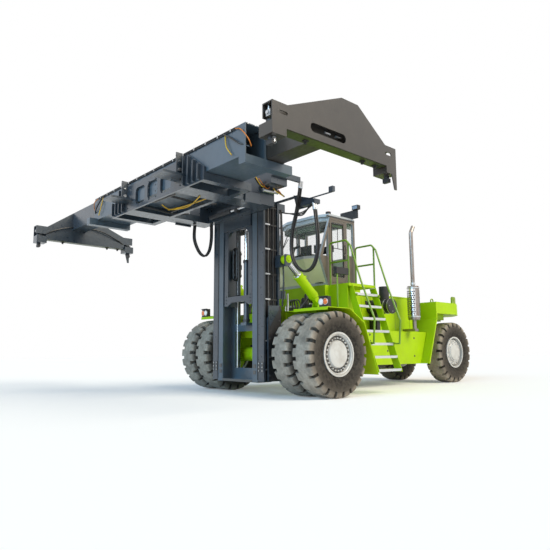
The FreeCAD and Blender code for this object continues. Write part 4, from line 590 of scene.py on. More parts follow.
class HANDLER_OT_tyres(bpy.types.Operator):
    """Tyres with deep lugs along both shoulders."""
    bl_idname = "handler.tyres"
    bl_label = "Tyres"

    # Across the tyre: (share of the width from the middle, share of the radius,
    # how deep a groove is there, how dusty it is).
    SECTION = ((0.400, 0.516, 0.0, 0.0), (0.432, 0.545, 0.0, 0.0), (0.470, 0.62, 0.0, 0.0),
               (0.492, 0.70, 0.0, 0.05), (0.4995, 0.78, 0.0, 0.1), (0.496, 0.852, 0.0, 0.2),
               (0.488, 0.882, 0.55, 0.45), (0.478, 0.925, 1.0, 0.7), (0.463, 0.962, 1.0, 0.85),
               (0.430, 0.987, 1.0, 1.0), (0.360, 0.998, 1.0, 1.0), (0.262, 1.0, 1.0, 1.0),
               (0.225, 1.0, 0.0, 1.0), (0.075, 1.0, 0.0, 1.0))
    # Round the tyre, one pitch: (share of the pitch, groove on one side, on the other).
    PITCH = ((0.00, 0, 0), (0.03, 1, 0), (0.30, 1, 0), (0.33, 0, 0),
             (0.50, 0, 0), (0.53, 0, 1), (0.80, 0, 1), (0.83, 0, 0))
    SHOULDER = 0.44          # from here out, a groove also cuts into the side,
    SIDE_CUT = 0.35          # by this share of its depth
    # Deep grooves keep only this share of the tread's dust, which paints shade in them.
    SHADED_GROOVE_SHARE = 0.12

    def tyre(self, shape, dust_and_groove_shade, x, y, width):
        lugs, deep = sizes().lug_count, sizes().lug_depth
        section = [(-across, *rest, 0) for across, *rest in self.SECTION]
        section += [(*row, 1) for row in reversed(self.SECTION)]
        rows = []
        for lug in range(lugs):
            for share, *grooves in self.PITCH:
                turn = 2 * math.pi * (lug + share) / lugs
                row = []
                for across, reach, depth, dust, side in section:
                    cut = depth * deep * grooves[side]
                    radius = reach * TYRE_RADIUS - cut
                    inward = self.SIDE_CUT * cut if abs(across) > self.SHOULDER else 0.0
                    vert = shape.mesh.verts.new(at((
                        x + across * width - math.copysign(inward, across),
                        y + radius * math.sin(turn), TYRE_RADIUS + radius * math.cos(turn))))
                    # Deep grooves get less dust: painted shade.
                    vert[dust_and_groove_shade] = dust * (self.SHADED_GROOVE_SHARE if cut > 0.5 * deep else 1.0)
                    row.append(vert)
                rows.append(row)
        for first, second in zip(rows, rows[1:] + rows[:1]):
            for a, b, c, d in zip(first, first[1:], second[1:], second):
                shape.mesh.faces.new((a, b, c, d))

    def execute(self, context):
        single = Edges("steer_tyre_left")
        width = single.x1 - single.x0
        for kind, wheel in (("drive_tyres_", "drive_wheel_"), ("steer_tyre_", "steer_wheel_")):
            for side, _ in SIDES:
                edges = Edges(kind + side)
                middles = [edges.x0 + width / 2]
                if edges.x1 - edges.x0 > 1.5 * width:
                    middles.append(edges.x1 - width / 2)
                shape = Shape()
                dust_and_groove_shade = shape.mesh.verts.layers.float.new("dust_and_groove_shade")
                for x in middles:
                    self.tyre(shape, dust_and_groove_shade, x, edges.y, width)
                piece = shape.piece("lugged_" + kind + side, "tyre", wheel + side, smooth=True)
                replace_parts(piece, kind + side)
        return {"FINISHED"}


class HANDLER_OT_wheels(bpy.types.Operator):
    """Lock rings, studs and caps of the wheels."""
    bl_idname = "handler.wheels"
    bl_label = "Wheel details"

    DRIVE_IN = 0.071         # the drive disc's face, in from the rim's edge
    STEER_IN = 0.246         # the same on a steering wheel
    STUD_RING = 0.298
    HUB_RING = 0.231
    # Turned pieces of a drive wheel: name, finish, smooth, profiles.
    TURNED = (("stud_ring_", "cast_iron", True,
               [[(0.0, 0.336), (0.012, 0.330), (0.014, 0.326), (0.014, 0.268), (0.0, 0.262)]]),
              ("lock_rings_", "rim", True,
               [[(0.030, 0.377), (0.058, 0.375), (0.064, 0.367), (0.050, 0.348), (0.0, 0.338)],
                [(0.0, 0.262), (0.036, 0.256), (0.056, 0.238), (0.062, 0.19), (0.062, 0.0005)]]),
              ("rim_gutter_", "dark_steel", False, [[(0.002, 0.337), (0.006, 0.3345)]]))
    DRUM = ((0.0, 0.372), (0.02, 0.356), (0.14, 0.340), (0.196, 0.334), (0.204, 0.326),
            (0.204, 0.270), (0.200, 0.262), (0.218, 0.256), (0.226, 0.246), (0.226, 0.215),
            (0.242, 0.205), (0.244, 0.19), (0.244, 0.0005))

    def studs(self, shape, face, y, ring, count, tall):
        return shape.bolts(upright((face, y, TYRE_RADIUS), ring, turns(count)), (1, 0, 0),
                           0.016, tall)

    def execute(self, context):
        for side, sign in SIDES:
            face = Edges("drive_rims_left").x1 - self.DRIVE_IN
            for name, finish, smooth, profiles in self.TURNED:
                shape = Shape(sign)
                for profile in profiles:
                    shape.lathe((face, 0, TYRE_RADIUS), (1, 0, 0), profile)
                shape.piece(name + side, finish, "drive_wheel_" + side, smooth)
            self.studs(Shape(sign), face + 0.012, 0, self.STUD_RING, 24, 0.034).piece(
                "wheel_studs_" + side, "rim", "drive_wheel_" + side)

            face = Edges("steer_rim_left").x1 - self.STEER_IN
            Shape(sign).lathe((face, STEER_Y, TYRE_RADIUS), (1, 0, 0), self.DRUM).piece(
                "hub_drum_" + side, "rim", "steer_wheel_" + side, smooth=True)
            bolts = self.studs(Shape(sign), face + 0.204, STEER_Y, self.STUD_RING, 16, 0.02)
            self.studs(bolts, face + 0.226, STEER_Y, self.HUB_RING, 10, 0.012).piece(
                "hub_bolts_" + side, "steel", "steer_wheel_" + side)
        return {"FINISHED"}


# ---------------------------------------------------------------- hoses

class HANDLER_OT_hoses(bpy.types.Operator):
    """The two hoses that hang from the cradle's arm to the mast head."""
    bl_idname = "handler.hoses"
    bl_label = "Hoses"

    # x and z of the route, from the end of the cradle's arm to the bracket.
    ROUTE = ((1.575, 4.110), (1.490, 3.640), (1.315, 3.190), (1.278, 2.810), (1.370, 2.510),
             (1.610, 2.330), (1.860, 2.375), (2.000, 2.640), (2.000, 3.130), (1.925, 3.605))
    # The way from the mast's end along which a hose begins to follow the cradle.
    PASSING = Vector((-0.50, 0.0, 0.16))

    def centreline(self, y):
        """Points along a smooth curve that the route steers."""
        line = bpy.data.curves.new("hose_line", "CURVE")
        line.dimensions = "3D"
        line.resolution_u = 12
        spline = line.splines.new("NURBS")
        spline.points.add(len(self.ROUTE) - 1)
        for point, (x, z) in zip(spline.points, self.ROUTE):
            point.co = (x, y, z, 1.0)
        spline.order_u = 3
        spline.use_endpoint_u = True
        holder = bpy.data.objects.new("hose_line", line)
        mesh = bpy.data.meshes.new_from_object(holder)
        points = [vertex.co.copy() for vertex in mesh.vertices]
        bpy.data.objects.remove(holder)
        bpy.data.curves.remove(line)
        bpy.data.meshes.remove(mesh)
        return points

    def execute(self, context):
        for node in ("hose_front", "hose_rear"):
            edges = Edges(node)
            diameter = edges.y1 - edges.y0
            points = self.centreline(edges.y)
            tube = Shape().tube(points, diameter / 2, sides=16).made(node + "_rubber", "hose",
                                                                     smooth=True)
            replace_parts(tube, node)
            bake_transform(tube)
            for spot, body, end, after in (("top", "carriage", points[0], points[4]),
                                           ("foot", "inner_mast", points[-1], points[-5])):
                way = (after - end).normalized()
                fitting = Shape().rod(end - way * 0.012, end + way * 0.10, diameter * 0.62)
                fitting.rod(end + way * 0.10, end + way * 0.125, diameter * 0.70, sides=6)
                fitting.piece("%s_fitting_%s" % (node, spot), "steel", body, smooth=True)
        return {"FINISHED"}


# ---------------------------------------------------------------- mast

class HANDLER_OT_mast(bpy.types.Operator):
    """Pipes, clips, stops and edge plates of the mast, and dark strips that paint the shade in its
    recesses.
    """
    bl_idname = "handler.mast"
    bl_label = "Mast details"

    WEB = 0.771                       # the face of the outer uprights' web
    RECESS_FRONT, RECESS_REAR = -0.735, -0.405
    HANGER_OUT = 0.885
    CLIPS = (0.50, 1.05, 1.86, 2.36, 2.86, 3.36, 3.72)
    HANGER = ((-0.698, 0.30), (-0.264, 0.30), (-0.124, 0.45), (-0.124, 0.655),
              (-0.367, 0.90), (-0.367, 1.745), (-0.558, 1.745), (-0.698, 1.50))
    GUSSET = ((-0.70, 1.50), (-0.70, 1.745), (-0.42, 1.745), (-0.44, 1.66), (-0.66, 1.34))
    HANGER_BOLTS = ((-0.66, 0.40), (-0.66, 0.75), (-0.66, 1.10), (-0.42, 1.00),
                    (-0.42, 1.45), (-0.30, 0.40))

    def uprights(self, mast, sign, side):
        web, front, rear = self.WEB, self.RECESS_FRONT, self.RECESS_REAR
        foot, top = mast.z0 + 0.01, mast.z1 - 0.01
        # Dark sheets in the web's recess and a dark strip down the gap on the front face paint the
        # shade there.
        Shape(sign).boxes(((web, front, foot), (web + 0.004, rear, top)),
                          ((web, front, foot), (0.838, front + 0.003, top))).piece(
            "column_recess_shade_" + side, "dark_steel", "mast")
        Shape(sign).box((0.640, mast.y0 - 0.0015, mast.z0 + 0.03),
                        (0.672, mast.y0 + 0.0005, top)).piece(
            "column_gap_shade_" + side, "seal", "mast")
        pipes, clips = Shape(sign), Shape(sign)
        pipes.rods(*(((0.805, y, 0.40), (0.805, y, mast.z1 - 0.04), radius)
                     for y, radius in ((-0.56, 0.014), (-0.50, 0.024), (-0.443, 0.012))), sides=12)
        for z in self.CLIPS:
            clips.box((0.79, -0.725, z), (0.836, -0.60, z + 0.028))
            pipes.box((0.785, -0.585, z - 0.01), (0.832, -0.425, z + 0.022))
        pipes.piece("column_pipes_" + side, "black_plastic", "mast", smooth=True)
        Shape(sign).rod((0.812, -0.628, 0.36), (0.812, -0.628, mast.z1 - 0.02), 0.017,
                        sides=12).piece("column_tube_" + side, "end_paint", "mast", smooth=True)
        clips.piece("column_clips_" + side, "steel", "mast")
        Shape(sign).box((0.79, rear + 0.040, 2.07), (0.838, rear + 0.062, 3.68)).piece(
            "column_duct_" + side, "end_paint", "mast")

    def hanger(self, sign, side):
        """The dark face of the hanger plate with its slate gusset and bolts."""
        out = self.HANGER_OUT
        Shape(sign).sheet(self.HANGER, "X", out, out + 0.003).piece(
            "hanger_face_" + side, "dark_steel", "mast")
        Shape(sign).sheet(self.GUSSET, "X", out, out + 0.012).piece(
            "hanger_gusset_" + side, "mast_paint", "mast")
        Shape(sign).bolts([(out + 0.003, y, z) for y, z in self.HANGER_BOLTS], (1, 0, 0),
                          0.02).piece("hanger_bolts_" + side, "cast_iron", "mast")

    def stops(self, mast, inner, sign, side):
        face = mast.y0 - 0.008
        plates, bolts, inner_plates = Shape(sign), Shape(sign), Shape(sign)
        for x in (0.70, 0.80):
            plates.box((x - 0.02, face, 0.46), (x + 0.02, mast.y0, 0.66))
            bolts.bolts([(x, face, z) for z in (0.49, 0.56, 0.63)], (0, -1, 0), 0.012)
        for z in (0.42, 0.54):
            inner_plates.box((0.52, inner.y0 - 0.008, z), (0.60, inner.y0, z + 0.07))
        plates.piece("foot_stops_" + side, "end_paint", "mast")
        bolts.piece("foot_stop_bolts_" + side, "steel", "mast")
        inner_plates.piece("inner_foot_stops_" + side, "end_paint", "inner_mast")

    def execute(self, context):
        mast, inner = Edges("mast_outer"), Edges("mast_inner")
        outer_hoses = (((0.90, -0.345, 1.78), (0.93, -0.33, 2.3), (0.88, -0.34, 3.0),
                        (0.86, -0.33, 3.72)),
                       ((0.86, -0.30, 1.74), (0.87, -0.27, 2.2), (0.86, -0.29, 3.0),
                        (0.85, -0.30, 3.72)))
        for side, sign in SIDES:
            self.uprights(mast, sign, side)
            self.hanger(sign, side)
            self.stops(mast, inner, sign, side)
            cables("mast_hoses_" + side, outer_hoses, 0.015, "hose", "mast", signs=(sign,))
        bracket_hoses = [[(1.88 - k * 0.05, -0.43, 3.60), (1.60, -0.45, 3.50 - k * 0.03),
                          (1.25, -0.46, 3.54), (0.98, -0.44, 3.62)] for k in range(3)]
        cables("bracket_hoses", bracket_hoses, 0.012, "hose", "inner_mast")
        Shape().box((inner.x0 + 0.165, inner.y0 - 0.004, inner.z0 + 0.004),
                    (inner.x1 - 0.165, inner.y0, inner.z0 + 0.046)).piece(
            "foot_bar_face", "end_paint", "inner_mast")
        return {"FINISHED"}


class HANDLER_OT_lift(bpy.types.Operator):
    """Chains, rings, hose loop and corner plates of the carriage and its cylinder."""
    bl_idname = "handler.lift"
    bl_label = "Lift details"

    WINDOW_HALF, WINDOW_TOP, WINDOW_ROUND = 0.34, 3.38, 0.14
    BAR_TOP, BAR_FOOT = 1.99, 1.87
    CHAIN_X = -0.125
    PULLEY_REACH = 0.090
    REAR_CHAIN_FOOT = 1.46
    LINK = 0.045
    SHEAVE = ((0, 0.03), (0, 0.098), (0.012, 0.098), (0.02, 0.086), (0.074, 0.086),
              (0.082, 0.098), (0.094, 0.098), (0.094, 0.03))
    REEL = ((-0.34, 2.46), (-0.34, 2.95), (-0.31, 3.03), (-0.25, 3.03), (-0.22, 2.95),
            (-0.22, 2.46), (-0.25, 2.38), (-0.31, 2.38), (-0.34, 2.46))

    def corner(self):
        """The outline between a square corner and a round one."""
        x, z, radius = self.WINDOW_HALF, self.WINDOW_TOP, self.WINDOW_ROUND
        arc = [(x - radius + radius * math.cos(a), z - radius + radius * math.sin(a))
               for a in (math.pi / 2 * k / 8 for k in range(9))]
        return [(x + 0.001, z + 0.001)] + arc[::-1]

    def chain(self, name, y, low, high):
        shape, x = Shape(), self.CHAIN_X
        for index in range(int((high - low) / self.LINK)):
            z, half = low + index * self.LINK, (0.018, 0.026)[index % 2]
            shape.box((x - half, y - 0.009, z), (x + half, y + 0.009, z + self.LINK * 1.05))
        return shape.made(name, "cast_iron")

    def chains(self, carriage, barrel):
        """The chain over the sheave: its front run lifts the carriage, its rear run is fixed."""
        x, y, top = self.CHAIN_X, barrel.y, Edges("free_lift_rod").z1 - 0.085
        front = self.chain("front_chain", y - self.PULLEY_REACH, self.BAR_FOOT + 0.04, top)
        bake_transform(front)
        rear = self.chain("rear_chain", y + self.PULLEY_REACH, self.REAR_CHAIN_FOOT, top)
        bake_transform(rear)
        Shape().box((x - 0.04, carriage.y0 + 0.093, self.BAR_FOOT + 0.012),
                    (x + 0.04, y - self.PULLEY_REACH + 0.012, self.BAR_TOP + 0.03)).piece(
            "front_chain_anchor", "dark_steel", "carriage")
        Shape().box((x - 0.04, y + 0.07, 1.41), (barrel.x - 0.085, y + 0.12, 1.49)).piece(
            "rear_chain_anchor", "dark_steel", "inner_mast")
        Shape().lathe((x - 0.047, y, top), (1, 0, 0), self.SHEAVE).piece(
            "chain_sheave", "cast_iron", "free_rod", smooth=True)

    def execute(self, context):
        carriage, barrel = Edges("lift_carriage"), Edges("free_lift_cylinder")
        plates = Shape(*BOTH)
        for outline in (self.corner(), [(0.341, self.BAR_FOOT), (0.341, 1.805), (0.22, 1.869)]):
            plates.sheet(outline, "Y", carriage.y0 + 0.041, carriage.y0 + 0.099)
        plates.piece("carriage_corners", "mast_paint", "carriage")
        Shape(*BOTH).bolts([(0.40, carriage.y0 + 0.040, z)
                            for z in (1.86, 1.93, 2.00, 3.48, 3.60, 3.72)], (0, -1, 0)).piece(
            "carriage_bolts", "cast_iron", "carriage")
        self.chains(carriage, barrel)
        gland = Shape().lathe((barrel.x, barrel.y, barrel.z1 - 0.05), (0, 0, 1),
                              [(0, 0.0625), (0, 0.074), (0.05, 0.074), (0.062, 0.066),
                               (0.062, 0.0455)])
        gland.lathe((barrel.x, barrel.y, barrel.z0 + 0.02), (0, 0, 1),
                    [(0, 0.0625), (0, 0.076), (0.05, 0.076), (0.05, 0.0625)])
        gland.piece("free_lift_rings", "dark_steel", "inner_mast", smooth=True)
        cables("hose_reel", [[(x, y, z) for x, z in self.REEL] for y in (-0.615, -0.57)], 0.03,
               "hose", "inner_mast", sides=12)
        reel = Shape().rods(*(((-0.28, -0.64, z), (-0.28, -0.46, z), 0.03) for z in (2.94, 2.47)))
        reel.boxes(((-0.30, -0.50, 2.42), (-0.26, -0.47, 3.0)),
                   ((-0.49, -0.47, 2.60), (-0.26, -0.45, 2.70)))
        reel.piece("hose_reel_frame", "dark_steel", "inner_mast")
        Shape().rods(*(((x, -0.455, 0.52), (x, -0.455, 3.70), 0.018) for x in (-0.40, 0.36)),
                     sides=12).piece("inner_pipes", "steel", "inner_mast", smooth=True)
        return {"FINISHED"}


class HANDLER_OT_tilt(bpy.types.Operator):
    """Eyes, collars and ports of the tilt cylinders."""
    bl_idname = "handler.tilt"
    bl_label = "Tilt cylinder details"

    EYE_REACH = 0.085        # from a pin to the end of its eye
    BARREL_LONG = 0.80       # from the foot's pin to the barrel's mouth
    EYE = ((0, 0.056), (0, 0.086), (0.008, 0.092), (0.098, 0.092), (0.106, 0.086),
           (0.106, 0.056), (0, 0.056))
    CAP = ((0, 0.078), (0.004, 0.078), (0.004, 0.042), (0.018, 0.040), (0.018, 0.0005))
    SEAL = ((0, 0.0565), (0, 0.075), (0.012, 0.085), (0.012, 0.0565))

    def execute(self, context):
        for side, sign in SIDES:
            barrel, shaft = Edges("tilt_barrel_" + side), Edges("tilt_rod_" + side)
            x = sign * barrel.x
            eye = Vector((x, shaft.y0 + self.EYE_REACH, shaft.z1 - self.EYE_REACH))
            foot = Vector((x, barrel.y1 - self.EYE_REACH, barrel.z0 + self.EYE_REACH))
            way = (foot - eye).normalized()
            mouth = foot - way * self.BARREL_LONG
            port = mouth + way * 0.16 + Vector((0, -way.z, way.y)) * 0.095
            Shape(sign).lathe(eye - Vector((0.053, 0, 0)), (1, 0, 0), self.EYE).piece(
                "tilt_eye_" + side, "body_green", "tilt_rod_" + side, smooth=True)
            collar = Shape(sign).rods((mouth - way * 0.004, mouth + way * 0.045, 0.108),
                                      (mouth + way * 0.53, mouth + way * 0.58, 0.106), sides=32)
            collar.rod(port, port + Vector((0, -way.z, way.y)) * 0.05, 0.03)
            collar.piece("tilt_collar_" + side, "body_green", "tilt_barrel_" + side, smooth=True)
            Shape(sign).lathe((x + 0.0905, eye.y, eye.z), (1, 0, 0), self.CAP).piece(
                "tilt_cap_" + side, "body_green", "mast", smooth=True)
            Shape(sign).lathe(mouth - way * 0.014, way, self.SEAL).piece(
                "tilt_seal_" + side, "steel", "tilt_barrel_" + side, smooth=True)
        return {"FINISHED"}


# ---------------------------------------------------------------- cradle and spreader

class HANDLER_OT_cradle(bpy.types.Operator):
    """Pins, slide pads, cylinders and cables of the cradle."""
    bl_idname = "handler.cradle"
    bl_label = "Cradle details"

    def execute(self, context):
        cradle = Edges("cradle")
        self.fittings(cradle)
        self.cylinders()
        self.lines(cradle.z0)
        return {"FINISHED"}

    def fittings(self, cradle):
        Shape(*BOTH).rods(((0.99, -2.84, 3.95), (1.075, -2.84, 3.95), 0.030),
                          ((1.00, -2.84, 4.10), (1.065, -2.84, 4.10), 0.018)).piece(
            "cradle_pins", "steel", "carriage", smooth=True)
        Shape(*BOTH).tube(upright((1.032, -2.86, 4.195), 0.04, turns(14, 1)), 0.009).piece(
            "cradle_eyes", "cast_iron", "carriage", smooth=True)
        Shape(*BOTH).boxes(((0.80, -3.16, 3.826), (1.00, -2.84, 3.842)),
                           ((0.82, -3.10, 3.842), (0.98, -3.02, 3.868))).piece(
            "shelf_flanges", "dark_steel", "carriage")
        Shape(*BOTH).boxes(*(((x - 0.05, -2.74, 4.06), (x + 0.05, -2.732, 4.14))
                             for x in (0.30, 0.62))).piece("slide_pads", "end_paint", "carriage")
        Shape(*BOTH).bolts([(x, cradle.y0 + 0.44, z) for x in (0.98, 0.13)
                            for z in (3.70, 3.80, 3.92, 4.04)], (0, -1, 0), 0.013).piece(
            "beam_bolts", "cast_iron", "carriage")

    def cylinders(self):
        """The side shift's cylinder, and the one that locks it."""
        Shape().rods(((0.30, -0.90, 3.70), (0.30, -1.06, 3.70), 0.05),
                     ((-0.62, -1.03, 3.72), (0.10, -1.03, 3.72), 0.045)).piece(
            "shift_barrel", "dark_steel", "carriage", smooth=True)
        Shape().rod((0.10, -1.03, 3.72), (0.68, -1.03, 3.72), 0.025).piece(
            "shift_rod", "chrome", "carriage", smooth=True)
        Shape().rods(((1.25, -1.14, 3.89), (1.25, -0.90, 3.89), 0.036),
                     ((1.25, -0.90, 3.89), (1.25, -0.76, 3.89), 0.022)).piece(
            "lock_cylinder", "steel", "carriage", smooth=True)

    def lines(self, low):
        yellow = [[(-0.06, -2.53, low + 0.02), (-0.28, -2.26, low + 0.03),
                   (-0.11, -2.15, low + 0.02), (0.18, -2.08, low + 0.03),
                   (0.89, -2.31, low + 0.02)],
                  [(-0.40, -2.20, low + 0.05), (0.10, -2.14, low + 0.03),
                   (0.60, -2.10, low + 0.04), (0.97, -2.07, low + 0.05)]]
        cables("cradle_yellow_leads", yellow, 0.011, "yellow_cable", "carriage")
        dark = [[(x, -2.72, low + 0.06), (x + 0.05, -2.40, low + 0.03),
                 (x - 0.04, -2.00, low + 0.04), (x + 0.10, -1.72, low + 0.05)]
                for x in (-0.55, -0.50, 0.42, 0.47)]
        dark.append([(1.24, -1.33, 4.09), (1.24, -1.19, 3.97), (1.24, -1.08, 4.12),
                     (1.24, -0.96, 4.15), (1.24, -0.84, 3.99), (1.20, -0.54, 3.88)])
        cables("cradle_hoses", dark, 0.014, "hose", "carriage")
        cables("cradle_side_lead", [[(1.29, -1.36, 4.10), (1.29, -1.17, 3.93),
                                     (1.29, -1.02, 4.09), (1.29, -0.88, 3.93),
                                     (1.26, -0.62, 3.86)]], 0.009, "yellow_cable", "carriage")
        cables("cradle_orange_lead", [[(1.32, -1.30, 4.06), (1.33, -1.10, 3.90),
                                       (1.31, -0.95, 4.02), (1.28, -0.70, 3.90)]],
               0.008, "orange_cable", "carriage")
        Shape().rods(((-0.05, -2.70, low + 0.04), (0.65, -2.68, low + 0.04), 0.016),
                     ((-0.60, -2.06, low + 0.05), (0.97, -2.07, low + 0.05), 0.012)).piece(
            "cradle_bars", "end_paint", "carriage", smooth=True)
        drops = [[(x, -0.62, 3.62), (x, -0.66, 3.42), (x + 0.02, -0.68, 3.20)]
                 for x in (-0.52, -0.47, 0.46, 0.51)]
        cables("cradle_drop_hoses", drops, 0.014, "hose", "carriage")
        loops = [[(x, -1.14, 3.62), (x + 0.01, -1.15, 3.30), (x + 0.05, -1.05, 3.03),
                  (x + 0.11, -0.94, 2.94), (x + 0.16, -0.86, 3.06), (x + 0.18, -0.82, 3.32),
                  (x + 0.18, -0.82, 3.63)] for x in (-1.10, -1.04)]
        cables("far_hose_loop", loops, 0.02, "hose", "carriage", sides=12)


class HANDLER_OT_spreader(bpy.types.Operator):
    """Conduits, mouth cables, sensors and end details of the spreader."""
    bl_idname = "handler.spreader"
    bl_label = "Spreader details"

    TUBE_FRONT = -2.73
    TUBE_HALF = 2.72
    BEAM_X = 4.15            # the middle of an end beam
    BEAM_FOOT = 3.494

    def execute(self, context):
        front, half = self.TUBE_FRONT, self.TUBE_HALF
        Shape().rods(*(((0.24 - half, front - 0.013, z), (half - 0.24, front - 0.013, z), 0.011)
                       for z in (4.258, 4.232)), sides=10).piece(
            "tube_conduits", "dark_steel", "spreader", smooth=True)
        clips = Shape()
        for x in (index * 0.34 for index in range(-7, 8)):
            clips.boxes(((x - 0.014, front - 0.030, 4.214), (x + 0.014, front, 4.222)),
                        ((x - 0.014, front - 0.030, 4.214), (x + 0.014, front - 0.026, 4.272)))
        clips.piece("conduit_clips", "steel", "spreader")
        for name, radius, finish, route in (
                ("tube_light_leads", 0.010, "yellow_cable",
                 ((2.24, -0.02, 4.20), (2.30, -0.04, 4.00), (2.42, -0.03, 3.84))),
                ("tube_orange_leads", 0.009, "orange_cable",
                 ((2.50, -0.02, 4.24), (2.66, -0.04, 4.17), (2.76, 0.02, 4.02),
                  (2.74, 0.10, 3.92))),
                ("tube_hoses", 0.014, "hose",
                 ((2.20, -0.02, 4.24), (2.40, -0.04, 4.12), (2.60, -0.03, 3.98),
                  (2.745, 0.06, 3.90)))):
            cables(name, [[(x, front + y, z) for x, y, z in route]], radius, finish, "spreader",
                   signs=BOTH)
        Shape(*BOTH).bolts([(half + 0.0005, y, 4.268)
                            for y in (-2.68, -2.54, -2.40, -2.12, -1.98, -1.84)],
                           (1, 0, 0), 0.009, 0.006).piece("tube_end_bolts", "steel", "spreader")
        for side, sign in SIDES:
            self.end_beam(side, sign)
        return {"FINISHED"}

    def end_beam(self, side, sign):
        arm, x, foot = "arm_" + side, self.BEAM_X, self.BEAM_FOOT
        # A thin near-black lime sheet under the beam's sole paints the shade on its underside.
        Shape(sign).box((4.0735, -3.31, foot), (4.238, -1.36, foot + 0.0055)).piece(
            "end_sole_" + side, "sole_green", arm)
        Shape(sign).rod((x, -3.44, 3.395), (x, -3.44, 3.33), 0.035, end_radius=0.042).piece(
            "end_lamp_" + side, "steel", arm, smooth=True)
        sensors = Shape(sign)
        for y in (-1.78, -1.50, -2.90):
            sensors.rod((x, y, foot), (x, y, foot - 0.045), 0.022, sides=12)
            sensors.box((x - 0.03, y - 0.035, foot - 0.012), (x + 0.03, y + 0.035, foot))
        sensors.piece("end_sensors_" + side, "black_plastic", arm)
        plug = x - sign * 0.02
        bits = Shape(sign).rods(((x, -2.54, 3.70), (x, -2.44, 3.70), 0.016),
                                ((x, -2.33, 3.70), (x, -2.23, 3.70), 0.016),
                                ((x, -3.52, 3.68), (x, -3.542, 3.68), 0.024),
                                ((plug, -3.49, 3.72), (plug, -3.49, 3.78), 0.014), sides=12)
        bits.box((x - 0.04, -3.52, 3.64), (x + 0.04, -3.45, 3.72))
        bits.piece("slot_fittings_" + side, "steel", arm)
        lead = ((4.09, -2.13, 4.05), (4.09, -1.96, 4.04), (4.09, -1.84, 3.95),
                (4.09, -1.95, 3.80), (4.09, -2.16, 3.86))
        cables("end_lead_" + side, [lead], 0.008, "yellow_cable", arm, signs=(sign,))
        inner = (((4.05, -2.40, 3.90), (4.02, -2.00, 3.86), (4.04, -1.60, 3.72),
                  (4.08, -1.38, 3.62)),
                 ((4.05, -2.40, 3.86), (4.02, -2.80, 3.84), (4.04, -3.15, 3.72),
                  (4.08, -3.32, 3.62)))
        cables("end_hoses_" + side, inner, 0.014, "hose", arm, signs=(sign,))


# ---------------------------------------------------------------- deck and chassis

